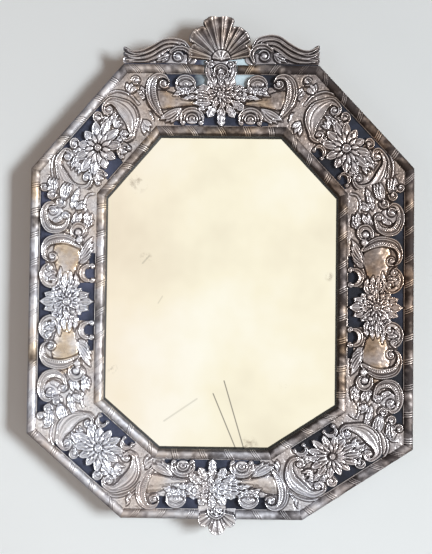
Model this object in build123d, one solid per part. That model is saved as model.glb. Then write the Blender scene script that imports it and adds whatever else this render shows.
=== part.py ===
from build123d import *
from math import atan2, cos, hypot, pi, radians, sin
import os

# Octagonal wall mirror in repoussé tin: a mitred pine carcass, blue velvet under pierced
# tin panels, half-round tin mouldings, a shell crest and a drop leaf.
# Millimetres. X runs right and Z up as seen from the front, and the wall is the plane Y = 0
# behind the part. "Depth" is the distance in front of the wall, so it runs along -Y.
# The origin is the middle of the octagon on the backboard's rear face.

# Octagon, over the metal edging
FRAME_WIDTH = 566.0
FRAME_HEIGHT = 668.0
TOP_LEFT_CUT_X, TOP_LEFT_CUT_Z = 134.0, 157.0
TOP_RIGHT_CUT_X, TOP_RIGHT_CUT_Z = 141.0, 151.0
BOTTOM_RIGHT_CUT_X, BOTTOM_RIGHT_CUT_Z = 161.0, 104.5
BOTTOM_LEFT_CUT_X, BOTTOM_LEFT_CUT_Z = 139.5, 121.0
SIDE_RAIL_WIDTH = 112.0
TOP_RAIL_WIDTH = 106.0
BOTTOM_RAIL_WIDTH = 101.0

# Wood and glass, front to back
CARCASS_THICKNESS = 22.0
BACKBOARD_THICKNESS = 6.0
BACKBOARD_FIELD_STEP = 2.0
BACKBOARD_BORDER = 15.0
BACKBOARD_LAP = 22.0
GLASS_THICKNESS = 3.0
PACKING_THICKNESS = 10.0
RABBET_WIDTH = 8.0
GLASS_CLEARANCE = 1.0
KEY_THICKNESS = 3.0
KEY_LENGTH = 30.0
CREST_BOARD_THICKNESS = 9.0
CREST_BOARD_LAP = 16.0

# Tin and velvet
EDGING = 1.0
EDGING_FOLD = 14.0
OUTER_MOULDING_WIDTH = 14.0
INNER_MOULDING_WIDTH = 14.0
MOULDING_RISE = 7.0
HALF_ROUND_FACETS = 5
VELVET_THICKNESS = 0.8
SHEET_THICKNESS = 1.0
PIERCING_RIM = 2.0
SCROLL_RISE = 4.5
PETAL_RISE = 3.5
BELLY_RISE = 6.0
CREST_SHEET = 2.0

# Crest and drop leaf, measured from the middle of the rail that carries them
STEM_HALF_WIDTH = 25.0
STEM_DROP = 34.0
STEM_CLEARANCE = 0.2
SHELL_FLUTES = 9
SHELL_TOP_REACH = 64.0
SHELL_SIDE_REACH = 46.0
SHELL_HINGE_HEIGHT = 6.0
SHELL_SHIFT = -4.0
CREST_LEAF_GAP = 17.0
LEFT_LEAF_HEIGHT = 38.0
RIGHT_LEAF_HEIGHT = 44.0
DROP_HALF_WIDTH = 27.0
DROP_SHIFT = -2.0
DROP_REACH = 23.0

# Fixings
BACKBOARD_NAIL_RADIUS = 1.0
BACKBOARD_NAIL_HEAD_RADIUS = 2.2
BACKBOARD_NAIL_HEAD = 1.0
BACKBOARD_NAIL_LENGTH = 15.0
PIN_RADIUS = 0.7
PIN_HEAD_RADIUS = 1.6
PIN_HEAD = 0.8
PIN_LENGTH = 8.0
PIN_PITCH = 75.0
PIN_FROM_KEY = 12.0
RING_RADIUS = 14.0
RING_WIRE_RADIUS = 1.6
RING_FACETS = 24
STAPLE_WIRE = 2.0
STAPLE_PLAY = 0.4
STAPLE_LEG = 10.0
STAPLE_BELOW_TOP = 34.0

# Depths in front of the wall, worked out from the thicknesses
CARCASS_BACK = BACKBOARD_THICKNESS
CARCASS_FRONT = CARCASS_BACK + CARCASS_THICKNESS
PACKING_FRONT = CARCASS_BACK + PACKING_THICKNESS
GLASS_FRONT = PACKING_FRONT + GLASS_THICKNESS
VELVET_FRONT = CARCASS_FRONT + VELVET_THICKNESS
PANEL_FRONT = VELVET_FRONT + SHEET_THICKNESS
RELIEF_ROOT = VELVET_FRONT + 0.5 * SHEET_THICKNESS
STEM_BACK = PANEL_FRONT + STEM_CLEARANCE
CREST_BOARD_BACK = CARCASS_FRONT - CREST_BOARD_THICKNESS
RELIEF_ROOM = 20.0

SIDES = ["top", "upper_right", "right", "lower_right", "bottom", "lower_left", "left", "upper_left"]
WIDTHS = [SIDE_RAIL_WIDTH] * 8
WIDTHS[SIDES.index("top")] = TOP_RAIL_WIDTH
WIDTHS[SIDES.index("bottom")] = BOTTOM_RAIL_WIDTH


# ---- plane geometry of the octagon -------------------------------------------------------

def outer_corners():
    """Corners of the metal edging, clockwise from the left end of the top side."""
    right, top = FRAME_WIDTH / 2, FRAME_HEIGHT / 2
    return [
        (-right + TOP_LEFT_CUT_X, top),
        (right - TOP_RIGHT_CUT_X, top),
        (right, top - TOP_RIGHT_CUT_Z),
        (right, -top + BOTTOM_RIGHT_CUT_Z),
        (right - BOTTOM_RIGHT_CUT_X, -top),
        (-right + BOTTOM_LEFT_CUT_X, -top),
        (-right, -top + BOTTOM_LEFT_CUT_Z),
        (-right, top - TOP_LEFT_CUT_Z),
    ]


def direction(start, end):
    length = hypot(end[0] - start[0], end[1] - start[1])
    return (end[0] - start[0]) / length, (end[1] - start[1]) / length


def ring(insets):
    """Corners of the octagon whose sides stand inside the outer ones by these insets."""
    corners = outer_corners()
    lines = []
    for i, inset in enumerate(insets):
        ux, uz = direction(corners[i], corners[(i + 1) % 8])
        lines.append((uz, -ux, uz * corners[i][0] - ux * corners[i][1] + inset))
    points = []
    for i in range(8):
        (a, b, c), (d, e, f) = lines[i - 1], lines[i]
        points.append(((c * e - b * f) / (a * e - b * d), (a * f - c * d) / (a * e - b * d)))
    return points


def from_outside(distance):
    return ring([distance] * 8)


def from_opening(distance):
    return ring([width - distance for width in WIDTHS])


def strip(i, outside, inside):
    """Side i of the band between two rings."""
    j = (i + 1) % 8
    return [outside[i], outside[j], inside[j], inside[i]]


def along(start, end, distance, inward=0.0):
    """Point at a distance from start towards end, moved into the frame."""
    ux, uz = direction(start, end)
    return start[0] + ux * distance + uz * inward, start[1] + uz * distance - ux * inward


# ---- solids from flat outlines -----------------------------------------------------------

def front_plane(depth):
    return Plane.XZ.offset(depth)


def slab(points, near, far):
    """Plate of this outline from the depth near to the depth far."""
    return extrude(front_plane(near) * make_face(Polyline(*points, close=True)), amount=far - near)


def flat_face(corners):
    return Face(Wire.make_polygon([Vector(x, -depth, z) for x, z, depth in corners]))


def faceted(*sections, closed=False):
    """Solid in flat facets through outlines of (x, z, depth) points; the last may be a peak.

    A closed one joins its last outline to its first.
    """
    faces = [] if closed else [flat_face(sections[0])]
    followers = sections[1:] + sections[:1] if closed else sections[1:]
    for low, high in zip(sections, followers):
        for k in range(len(low)):
            if len(high) == 1:
                faces.append(flat_face([low[k - 1], low[k], high[0]]))
            else:
                faces.append(flat_face([low[k - 1], low[k], high[k]]))
                faces.append(flat_face([low[k - 1], high[k], high[k - 1]]))
    if not closed and len(sections[-1]) > 1:
        faces.append(flat_face(sections[-1]))
    solid = Solid(Shell(faces))
    return solid if solid.volume > 0 else Solid(Shell([-face for face in faces]))


def at_depth(points, depth):
    return [(x, z, depth) for x, z in points]


def oval(x, z, half_width, half_height, turn=0.0, count=8):
    """Many-sided oval outline."""
    points = []
    for k in range(count):
        angle = 2 * pi * k / count
        u, v = half_width * cos(angle), half_height * sin(angle)
        points.append((x + u * cos(turn) - v * sin(turn), z + u * sin(turn) + v * cos(turn)))
    return points


def boss(x, z, near, far, radius, top_radius):
    """Worked boss that tapers to the front."""
    return faceted(at_depth(oval(x, z, radius, radius), near), at_depth(oval(x, z, top_radius, top_radius), far))


def square(x, z, half):
    return [(x - half, z - half), (x + half, z - half), (x + half, z + half), (x - half, z + half)]


def blend(p, q, t):
    return p[0] + (q[0] - p[0]) * t, p[1] + (q[1] - p[1]) * t


def arc_points(start, through, end, count):
    """Points spaced evenly by angle on the arc through three places."""
    arc = ThreePointArc(start, through, end)
    return [((arc @ (k / count)).X, (arc @ (k / count)).Y) for k in range(count + 1)]


def crescent_outline(start, outer, end, inner):
    rim = arc_points(start, outer, end, 6)
    hollow = arc_points(end, inner, start, 3)
    return rim + hollow[1:-1]


def crescent(start, outer, end, inner, rise=SCROLL_RISE):
    """C-scroll body: a crescent with bevelled flanks, tapering to both ends."""
    middle = blend(blend(start, end, 0.5), outer, 0.5)
    crown = [blend(start, middle, 0.10), blend(outer, inner, 0.28),
             blend(end, middle, 0.10), blend(inner, outer, 0.28)]
    base = at_depth(crescent_outline(start, outer, end, inner), RELIEF_ROOT)
    return faceted(base, at_depth(crescent_outline(*crown), PANEL_FRONT + rise))


def volute(centre, radius, rise=SCROLL_RISE):
    """Curled end of a scroll."""
    return boss(*centre, RELIEF_ROOT, PANEL_FRONT + rise + 0.8, radius, 0.55 * radius)


def blade(root, tip, width, rise=PETAL_RISE, widest=0.55, seat=RELIEF_ROOT):
    """Petal or leaf blade: a kite on the depth seat, with a peak where it is widest."""
    ux, uz = direction(root, tip)
    mid = blend(root, tip, widest)
    left = (mid[0] - uz * width / 2, mid[1] + ux * width / 2)
    right = (mid[0] + uz * width / 2, mid[1] - ux * width / 2)
    return faceted(at_depth([root, left, tip, right], seat), [(*mid, PANEL_FRONT + rise)])


def belly(centre, u_axis, half_length, half_width, rise=BELLY_RISE):
    """Smooth domed field."""
    turn = atan2(u_axis[1], u_axis[0])
    sections = []
    for share, depth in ((1.0, RELIEF_ROOT), (0.82, PANEL_FRONT + 0.6 * rise), (0.4, PANEL_FRONT + rise)):
        sections.append(at_depth(oval(*centre, half_length * share, half_width * share, turn, 12), depth))
    return faceted(*sections)


# ---- panels --------------------------------------------------------------------------------

# Each panel's ornament is drawn for a field of nominal length (along the rail, at mid-width)
# and width, centred on a point shifted along the rail, and leaning towards one end.
FIELD_NOMINAL_WIDTH = 86.0
SIDE_NOMINAL_LENGTH = 345.0
END_NOMINAL_LENGTHS = {"top": 235.0, "bottom": 213.0}
DIAGONAL_NOMINAL_LENGTH = 164.0
# side: (shift towards the top or bottom rail, lean, direction of the design along the side)
DIAGONAL_SETTING = {
    "upper_left": (-13.0, 0.2, 1),
    "upper_right": (-13.0, 0.2, -1),
    "lower_right": (-1.0, -0.2, 1),
    "lower_left": (-4.0, 0.0, -1),
}
SIDE_SHIFT = 3.5


class Field:
    """Local axes of one panel: u along the rail and v outward, in drawn millimetres."""

    def __init__(self, i, nominal_length, shift=0.0, lean=0.0, heading=1):
        outside, inside = from_outside(OUTER_MOULDING_WIDTH), from_opening(INNER_MOULDING_WIDTH)
        self.outline = strip(i, outside, inside)
        start = blend(self.outline[0], self.outline[3], 0.5)
        end = blend(self.outline[1], self.outline[2], 0.5)
        self.middle = blend(start, end, 0.5)
        self.u_axis = direction(start, end)
        self.length = hypot(end[0] - start[0], end[1] - start[1])
        self.width = WIDTHS[i] - OUTER_MOULDING_WIDTH - INNER_MOULDING_WIDTH
        self.u_scale = self.length / nominal_length
        self.v_scale = self.width / FIELD_NOMINAL_WIDTH
        self.shift, self.lean, self.heading = shift, lean, heading

    def at(self, u, v):
        """Drawn point to (x, z)."""
        across = v * self.v_scale
        run = self.heading * (self.shift + u + self.lean * v) * self.u_scale
        ux, uz = self.u_axis
        return self.middle[0] + ux * run - uz * across, self.middle[1] + uz * run + ux * across

    def size(self, amount):
        """Drawn radius or width to millimetres."""
        return amount * (self.u_scale * self.v_scale) ** 0.5

    def plate(self, windows):
        """The tin sheet with its piercings, each a list of drawn points."""
        sheet = slab(self.outline, VELVET_FRONT, PANEL_FRONT)
        reach = FIELD_NOMINAL_WIDTH / 2 - PIERCING_RIM
        for window in windows:
            corners = [self.at(u, v * reach) for u, v in window]
            sheet -= slab(corners, VELVET_FRONT - 1, PANEL_FRONT + 1)
        return sheet

    def finish(self, sheet, forms):
        """One worked sheet, its relief trimmed to the panel's outline."""
        return sheet.fuse(*forms) & slab(self.outline, VELVET_FRONT, PANEL_FRONT + RELIEF_ROOM)

    def scroll(self, start, outer, end, inner, rise=SCROLL_RISE):
        return crescent(self.at(*start), self.at(*outer), self.at(*end), self.at(*inner), rise)

    def curl(self, centre, radius, rise=SCROLL_RISE):
        return volute(self.at(*centre), self.size(radius), rise)

    def leaf(self, root, tip, width, rise=PETAL_RISE):
        return blade(self.at(*root), self.at(*tip), self.size(width), rise)

    def dome(self, centre, half_length, half_width):
        return belly(self.at(*centre), self.u_axis, half_length * self.u_scale, half_width * self.v_scale)

    def flower(self, petals, radius, boss):
        """Daisy: a ring of petals round a boss."""
        forms = []
        for k in range(petals):
            angle = 2 * pi * (k + 0.5) / petals
            root = (0.18 * radius * cos(angle), 0.18 * radius * sin(angle))
            tip = (radius * cos(angle), radius * sin(angle))
            forms.append(self.leaf(root, tip, 0.5 * radius))
        forms.append(self.curl((0, 0), boss, PETAL_RISE + 1))
        return forms


def window(u0, u1, v0, v1):
    """Piercing between two places along the rail, with v as a share of the half-width."""
    return [(u0, v0), (u1, v0), (u1, v1), (u0, v1)]


def mirrored(side, *points):
    return [(side * u, v) for u, v in points]


def diagonal_panel(i):
    """Eight-petalled flower between two large C-scrolls, with four small ones at the edges."""
    field = Field(i, DIAGONAL_NOMINAL_LENGTH, *DIAGONAL_SETTING[SIDES[i]])
    sheet = field.plate([window(-42, 36, 0.62, 1.0), window(-36, 34, -1.0, -0.72)])
    forms = field.flower(8, 30, 6)
    for side in (-1, 1):
        forms.append(field.scroll(*mirrored(side, (40, 40), (77, 9), (42, -27), (57, 8)), SCROLL_RISE + 1))
        for tip in ((43, 28), (42, -16)):
            forms.append(field.curl(*mirrored(side, tip), 8.5))
        forms.append(field.scroll(*mirrored(side, (36, 37), (18, 32), (30, 22), (24, 32))))
        forms.append(field.scroll(*mirrored(side, (34, -36), (14, -30), (30, -20), (20, -30))))
        forms.append(field.leaf(*mirrored(side, (26, 4), (60, 4)), 14))
    return field.finish(sheet, forms)


def side_panel(i):
    """Rosette between two arches over polished bellies, with scrolls and corner leaves beyond."""
    shift = SIDE_SHIFT if SIDES[i] == "right" else -SIDE_SHIFT
    field = Field(i, SIDE_NOMINAL_LENGTH, shift)
    windows = [window(-58, 58, 0.55, 1.0), window(-60, 60, -1.0, -0.62)]
    for side in (-1, 1):
        windows.append(window(side * 92, side * 116, 0.62, 1.0))
        windows.append(window(side * 142, side * 156, 0.55, 1.0))
    sheet = field.plate(windows)
    forms = field.flower(10, 24, 6)
    for side in (-1, 1):
        forms.append(field.leaf(*mirrored(1, (0, 6 * side), (0, 38 * side)), 26))
        forms.append(field.leaf(*mirrored(side, (18, 2), (46, 2)), 18))
        # arch over the belly
        forms.append(field.scroll(*mirrored(side, (64, 42), (101, 14), (74, -29), (87, 10)), SCROLL_RISE + 1))
        forms.append(field.curl(*mirrored(side, (68, 27)), 10))
        forms.append(field.dome(*mirrored(side, (68, 0)), 20, 16))
        # small scrolls beside the belly
        forms.append(field.scroll(*mirrored(side, (56, 20), (40, 41), (24, 20), (40, 30))))
        forms.append(field.scroll(*mirrored(side, (54, -34), (40, -16), (26, -34), (40, -26))))
        # scrolls beyond the arch
        forms.append(field.scroll(*mirrored(side, (142, 40), (107, 24), (134, 0), (118, 24))))
        forms.append(field.curl(*mirrored(side, (136, 26)), 9))
        forms.append(field.curl(*mirrored(side, (129, 6)), 6.5))
        forms.append(field.scroll(*mirrored(side, (116, -6), (104, -27), (90, -18), (104, -17))))
        # corner acanthus with three curled lobes
        for curl_at, spring in (((168, 36), (186, 22)), ((158, 27), (182, 10)), ((145, 10), (172, -6))):
            forms.append(field.curl(*mirrored(side, curl_at), 6))
            forms.append(field.leaf(*mirrored(side, spring, curl_at), 12))
    return field.finish(sheet, forms)


def end_panel(i):
    """Rosette between bellies closed by two large brackets, with scrolls along both edges."""
    field = Field(i, END_NOMINAL_LENGTHS[SIDES[i]])
    windows = [window(-112, 112, 0.62, 1.0), window(-20, 20, -1.0, -0.6)]
    for side in (-1, 1):
        windows.append(window(side * 28, side * 62, -1.0, -0.7))
    sheet = field.plate(windows)
    forms = field.flower(8, 27, 6)
    for side in (-1, 1):
        forms.append(field.scroll(*mirrored(side, (100, -24), (115, 12), (92, 39), (97, 10)), SCROLL_RISE + 1))
        forms.append(field.curl(*mirrored(side, (88, 25)), 9.5))
        forms.append(field.dome(*mirrored(side, (72, 3)), 25, 13))
        forms.append(field.scroll(*mirrored(side, (72, 20), (52, 41), (32, 20), (52, 30))))
        forms.append(field.scroll(*mirrored(side, (26, -36), (44, -11), (62, -36), (44, -22))))
        forms.append(field.leaf(*mirrored(side, (62, -20), (96, -34)), 15))
        forms.append(field.leaf(*mirrored(side, (22, 6), (52, 14)), 16))
    for reach in (-32, 32):
        forms.append(field.leaf((0, 0.3 * reach), (0, reach), 18))
    worked = field.finish(sheet, forms)
    if SIDES[i] == "top":
        worked -= slab(stem_outline(0.0), STEM_BACK, PANEL_FRONT + RELIEF_ROOM)
    return worked


def panel(i):
    if SIDES[i] in DIAGONAL_SETTING:
        return diagonal_panel(i)
    return end_panel(i) if SIDES[i] in END_NOMINAL_LENGTHS else side_panel(i)


# ---- carcass -----------------------------------------------------------------------------

def corner_key(i):
    """Thin pine key let into a kerf across the mitre at corner i."""
    corners = from_outside(EDGING)
    corner = corners[i]
    back = along(corner, corners[i - 1], KEY_LENGTH)
    ahead = along(corner, corners[(i + 1) % 8], KEY_LENGTH)
    near = CARCASS_BACK + (CARCASS_THICKNESS - KEY_THICKNESS) / 2
    return slab([back, corner, ahead], near, near + KEY_THICKNESS)


def rail(i):
    """Mitred pine member with the rabbet for the glass and kerfs for the keys."""
    body = slab(strip(i, from_outside(EDGING), from_opening(0)), CARCASS_BACK, CARCASS_FRONT)
    body -= slab(from_opening(RABBET_WIDTH), CARCASS_BACK - 1, GLASS_FRONT)
    body -= corner_key(i)
    body -= corner_key((i + 1) % 8)
    for nail_x, nail_z in backboard_nail_places(i):
        body -= nail_shank(nail_x, nail_z)
    for place in pin_places(i):
        body -= pin_shank(i, place)
    if SIDES[i] == "top":
        body -= crest_board()
        for leg in staple_legs():
            body -= leg
    if SIDES[i] == "bottom":
        body -= drop_board()
    return body


def glass_outline():
    return from_opening(RABBET_WIDTH - GLASS_CLEARANCE)


def backboard():
    """Board with a thinner border that takes the nail heads."""
    board = slab(from_opening(BACKBOARD_LAP), BACKBOARD_FIELD_STEP, CARCASS_BACK)
    board += slab(from_opening(BACKBOARD_LAP - BACKBOARD_BORDER), 0, BACKBOARD_FIELD_STEP)
    for i in range(8):
        for nail_x, nail_z in backboard_nail_places(i):
            board -= nail_shank(nail_x, nail_z)
    return board


def backboard_nail_places(i):
    """Two nails on each side, in the middle of the lap's border that lies over the rail."""
    line = from_opening((BACKBOARD_LAP + RABBET_WIDTH) / 2)
    start, end = line[i], line[(i + 1) % 8]
    return [blend(start, end, share) for share in (0.2, 0.8)]


def nail_shank(x, z):
    near = BACKBOARD_FIELD_STEP
    return slab(square(x, z, BACKBOARD_NAIL_RADIUS), near, near + BACKBOARD_NAIL_LENGTH)


def backboard_nail(x, z):
    """Cut nail with a four-sided head."""
    seat = at_depth(square(x, z, BACKBOARD_NAIL_HEAD_RADIUS), BACKBOARD_FIELD_STEP)
    return faceted(seat, [(x, z, BACKBOARD_FIELD_STEP - BACKBOARD_NAIL_HEAD)]) + nail_shank(x, z)


# ---- mouldings ---------------------------------------------------------------------------

def half_round(width, fold=0.0):
    """Section of a moulding, x into the frame from the edge and y to the front."""
    half = width / 2
    arch = []
    for k in range(HALF_ROUND_FACETS + 1):
        angle = pi * k / HALF_ROUND_FACETS
        arch.append((half - half * cos(angle), MOULDING_RISE * sin(angle)))
    if fold:
        arch += [(EDGING, 0), (EDGING, -fold), (0, -fold)]
    return make_face(Polyline(*arch, close=True))


def section_run(section, start, end):
    """Extrude a section along the line from start to end."""
    ux, uz = direction(start, end)
    plane = Plane(origin=(start[0], -CARCASS_FRONT, start[1]), x_dir=(uz, 0, -ux), z_dir=(-ux, 0, -uz))
    return extrude(plane * section, amount=-hypot(end[0] - start[0], end[1] - start[1]))


def mitred(i, body, outside, inside):
    """Cut the ends of a run to the mitres of side i."""
    return body & slab(strip(i, outside, inside), CARCASS_FRONT - RELIEF_ROOM, CARCASS_FRONT + RELIEF_ROOM)


def outer_moulding(i):
    corners = from_outside(0)
    section = half_round(OUTER_MOULDING_WIDTH, EDGING_FOLD)
    body = section_run(section, corners[i], corners[(i + 1) % 8])
    return mitred(i, body, corners, from_outside(OUTER_MOULDING_WIDTH))


def inner_moulding(i):
    edge = from_opening(INNER_MOULDING_WIDTH)
    body = section_run(half_round(INNER_MOULDING_WIDTH), edge[i], edge[(i + 1) % 8])
    return mitred(i, body, edge, from_opening(0))


def middle_gap(half_width, shift, z):
    """Space that the stem or the drop leaf leaves in a moulding."""
    reach = 2 * OUTER_MOULDING_WIDTH
    box = [(shift - half_width, z - reach), (shift + half_width, z - reach),
           (shift + half_width, z + reach), (shift - half_width, z + reach)]
    return slab(box, CARCASS_FRONT - RELIEF_ROOM, CARCASS_FRONT + RELIEF_ROOM)


def outer_mouldings():
    """Ten lengths: the top and bottom ones are split by the stem and the drop leaf."""
    lengths = {}
    for i, side in enumerate(SIDES):
        body = outer_moulding(i)
        for place in pin_places(i):
            body -= pin_shank(i, place)
        if side == "top":
            body -= middle_gap(STEM_HALF_WIDTH, SHELL_SHIFT, FRAME_HEIGHT / 2)
            body -= crest_board()
        elif side == "bottom":
            body -= middle_gap(DROP_HALF_WIDTH, DROP_SHIFT, -FRAME_HEIGHT / 2)
            body -= drop_board()
        if side in ("top", "bottom"):
            left, right = sorted(body.solids(), key=lambda piece: piece.center().X)
            lengths[f"outer_moulding_{side}_left"] = left
            lengths[f"outer_moulding_{side}_right"] = right
        else:
            lengths[f"outer_moulding_{side}"] = body
    return lengths


# ---- pins through the folded edge -------------------------------------------------------------

def pin_places(i):
    """Distances along the side where pins go in, clear of the corner keys.

    The top has none: its fold is held by the crest.
    """
    if SIDES[i] == "top":
        return []
    corners = from_outside(0)
    length = hypot(corners[(i + 1) % 8][0] - corners[i][0], corners[(i + 1) % 8][1] - corners[i][1])
    first = KEY_LENGTH + PIN_FROM_KEY
    if SIDES[i] == "bottom":
        return [first, length - first]
    gaps = max(1, round((length - 2 * first) / PIN_PITCH))
    return [first + (length - 2 * first) * k / gaps for k in range(gaps + 1)]


def pin_plane(i, distance):
    """Plane of the tin's outer face across the pin, facing into the wood."""
    corners = from_outside(0)
    start, end = corners[i], corners[(i + 1) % 8]
    ux, uz = direction(start, end)
    x, z = along(start, end, distance)
    depth = CARCASS_FRONT - EDGING_FOLD / 2
    return Plane(origin=(x, -depth, z), x_dir=(0, -1, 0), z_dir=(uz, 0, -ux))


def pin_shank(i, distance):
    base = (Align.CENTER, Align.CENTER, Align.MIN)
    return pin_plane(i, distance) * Box(2 * PIN_RADIUS, 2 * PIN_RADIUS, PIN_LENGTH, align=base)


def edging_pin(i, distance):
    """Tack with a four-sided head."""
    seat = pin_plane(i, distance)
    corners = square(0, 0, PIN_HEAD_RADIUS)
    tip = seat.from_local_coords(Vector(0, 0, -PIN_HEAD))
    base = [seat.from_local_coords(Vector(*corner, 0)) for corner in corners]
    head = faceted([(p.X, p.Z, -p.Y) for p in base], [(tip.X, tip.Z, -tip.Y)])
    return head + pin_shank(i, distance)


# ---- crest and drop -------------------------------------------------------------------------

def crest_leaf_outline(side, height):
    """Scroll leaf beside the shell: crown by the shell, hollow back, turned-up tip."""
    near = side * SHELL_SHIFT + STEM_HALF_WIDTH + CREST_LEAF_GAP
    corner = outer_corners()[0 if side < 0 else 1]
    far = abs(corner[0])
    base = FRAME_HEIGHT / 2
    profile = ((0.00, 0.05), (0.02, 0.55), (0.14, 0.90), (0.35, 1.0), (0.56, 0.78), (0.78, 0.44),
               (0.93, 0.42), (0.985, 0.55), (1.0, 0.05))
    return [(side * (near + (far - near) * run), base + height * rise) for run, rise in profile]


def leaf_face(points, depth):
    """Face with a smooth crown between the first and last points and a straight base."""
    tip = len(points) - 2
    crown = Spline(*points[:tip + 1])
    return front_plane(depth) * make_face([crown, Line(points[tip], points[-1]), Line(points[-1], points[0])])


def crest_leaf(side, height, shell):
    """Sheet leaf with a raised scroll, a curl and two ribs that run out to the tip.

    It is cut to the shell that it meets.
    """
    outline = crest_leaf_outline(side, height)
    base = FRAME_HEIGHT / 2
    near, far = outline[0][0], outline[-1][0]
    length = far - near

    def at(run, rise):
        return near + length * run, base + height * rise

    body = extrude(leaf_face(outline, CARCASS_FRONT), amount=CREST_SHEET)
    body += crescent(at(0.03, 0.2), at(0.2, 0.92), at(0.52, 0.14), at(0.24, 0.66))
    body += crescent(at(0.2, 0.94), at(0.48, 0.80), at(0.95, 0.42), at(0.5, 0.62))
    body += crescent(at(0.5, 0.6), at(0.66, 0.34), at(0.95, 0.16), at(0.7, 0.42))
    body += boss(*at(0.2, 0.36), CARCASS_FRONT + 1, PANEL_FRONT + SCROLL_RISE, 0.27 * height, 0.16 * height)
    return body - shell


def flute(hinge, angle, reach, spread):
    """One ray of the shell: a half-round rib that swells outward and ends in a rounded tip."""
    ux, uz = cos(angle), sin(angle)
    sections = []
    for share, size in ((0.02, 0.2), (0.86, 1.0), (0.96, 0.75), (1.0, 0.35)):
        x, z = hinge[0] + ux * reach * share, hinge[1] + uz * reach * share
        radius = 0.9 * reach * spread / 2 * size
        section = []
        for k in range(5):
            across, rise = radius * cos(pi * k / 4), radius * sin(pi * k / 4)
            section.append((x - uz * across, z + ux * across, CARCASS_FRONT + rise))
        sections.append(section)
    return faceted(*sections)


def stem_outline(inset):
    """Outline of the stem leaf, from the shell's hinge down over the top panel."""
    top = FRAME_HEIGHT / 2 + SHELL_HINGE_HEIGHT
    foot = FRAME_HEIGHT / 2 - STEM_DROP
    half = STEM_HALF_WIDTH - inset
    return [(SHELL_SHIFT - half, top), (SHELL_SHIFT - 0.45 * half, foot + inset),
            (SHELL_SHIFT + 0.45 * half, foot + inset), (SHELL_SHIFT + half, top)]


def crest_shell():
    """Scallop shell of fluted rays over a stem leaf that passes through the top moulding."""
    base = FRAME_HEIGHT / 2
    hinge = (SHELL_SHIFT, base + SHELL_HINGE_HEIGHT)
    first, last = radians(22), radians(158)
    step = (last - first) / (SHELL_FLUTES - 1)
    shell = None
    for k in range(SHELL_FLUTES):
        angle = first + k * step
        reach = SHELL_SIDE_REACH + (SHELL_TOP_REACH - SHELL_SIDE_REACH) * sin(angle) ** 2
        ray = flute(hinge, angle, reach, step)
        shell = ray if shell is None else shell + ray
    foot = base - STEM_DROP
    half = STEM_HALF_WIDTH
    shell += slab(stem_outline(1.0), STEM_BACK, STEM_BACK + CREST_SHEET)
    shell += boss(*hinge, CARCASS_FRONT, PANEL_FRONT + SCROLL_RISE + 2, 0.5 * half, 0.3 * half)
    for lean in (-0.7, 0.0, 0.7):
        top = (hinge[0] + lean * half, hinge[1] - 4)
        low = (hinge[0] + 0.5 * lean * half, foot + 3)
        shell += blade(low, top, 0.5 * half, 2 * CREST_SHEET, 0.7, STEM_BACK + 0.5 * CREST_SHEET)
    return shell


def crest_board():
    """Shaped pine board behind the crest, lapped into the front of the top rail."""
    base = FRAME_HEIGHT / 2
    foot = base - CREST_BOARD_LAP
    left = crest_leaf_outline(-1, 0.9 * LEFT_LEAF_HEIGHT)[1:-1]
    right = crest_leaf_outline(1, 0.9 * RIGHT_LEAF_HEIGHT)[1:-1]
    hinge = (SHELL_SHIFT, base + SHELL_HINGE_HEIGHT)
    crown = []
    for degree in range(150, 20, -24):
        angle = radians(degree)
        reach = 0.86 * (SHELL_SIDE_REACH + (SHELL_TOP_REACH - SHELL_SIDE_REACH) * sin(angle) ** 2)
        crown.append((hinge[0] + reach * cos(angle), hinge[1] + reach * sin(angle)))
    end_left, end_right = left[-1][0], right[-1][0]
    tenon_left, tenon_right = end_left + KEY_LENGTH, end_right - KEY_LENGTH
    points = [(tenon_left, foot), (tenon_left, base), (end_left, base)] + left[::-1]
    points += crown + right + [(end_right, base), (tenon_right, base), (tenon_right, foot)]
    return slab(points, CREST_BOARD_BACK, CARCASS_FRONT)


def drop_outline(share):
    """Half of the three-lobed leaf under the bottom rail, as the places its arcs pass through."""
    edge = -FRAME_HEIGHT / 2
    half, reach = DROP_HALF_WIDTH, DROP_REACH
    profile = ((1.0, 0.55), (1.0, -0.05), (0.9, -0.42), (0.6, -0.36), (0.42, -0.76), (0.0, -1.0))
    return [(half * x * share, edge + reach * (z if z > 0 else z * share)) for x, z in profile]


def drop_face(share, top, depth):
    """The leaf's outline: straight edges across the rail, a round lobe each side and the tip."""
    half = drop_outline(share)
    half[0] = (half[0][0], top)
    right = [(DROP_SHIFT + x, z) for x, z in half]
    left = [(DROP_SHIFT - x, z) for x, z in half]
    edges = [Line(left[0], right[0])]
    for side in (left, right):
        edges.append(Line(side[0], side[1]))
        edges.append(ThreePointArc(side[1], side[2], side[3]))
        edges.append(ThreePointArc(side[3], side[4], side[5]))
    return front_plane(depth) * make_face(edges)


def drop_leaf():
    """Acanthus leaf that crosses the bottom moulding."""
    edge = -FRAME_HEIGHT / 2
    body = extrude(drop_face(1.0, edge + 0.55 * DROP_REACH, CARCASS_FRONT), amount=CREST_SHEET)
    spring = (DROP_SHIFT, edge + 0.45 * DROP_REACH)
    body += blade(spring, (DROP_SHIFT, edge - 0.9 * DROP_REACH), 18, SCROLL_RISE, 0.4)
    for side in (-1, 1):
        tip = (DROP_SHIFT + side * 0.85 * DROP_HALF_WIDTH, edge - 0.1 * DROP_REACH)
        body += blade(spring, tip, 14, SCROLL_RISE, 0.6)
    return body


def drop_board():
    """Small pine block behind the drop leaf, lapped into the front of the bottom rail."""
    top = -FRAME_HEIGHT / 2 + CREST_BOARD_LAP
    return extrude(drop_face(0.88, top, CREST_BOARD_BACK), amount=CREST_BOARD_THICKNESS)


# ---- hanging ring ------------------------------------------------------------------------

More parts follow.
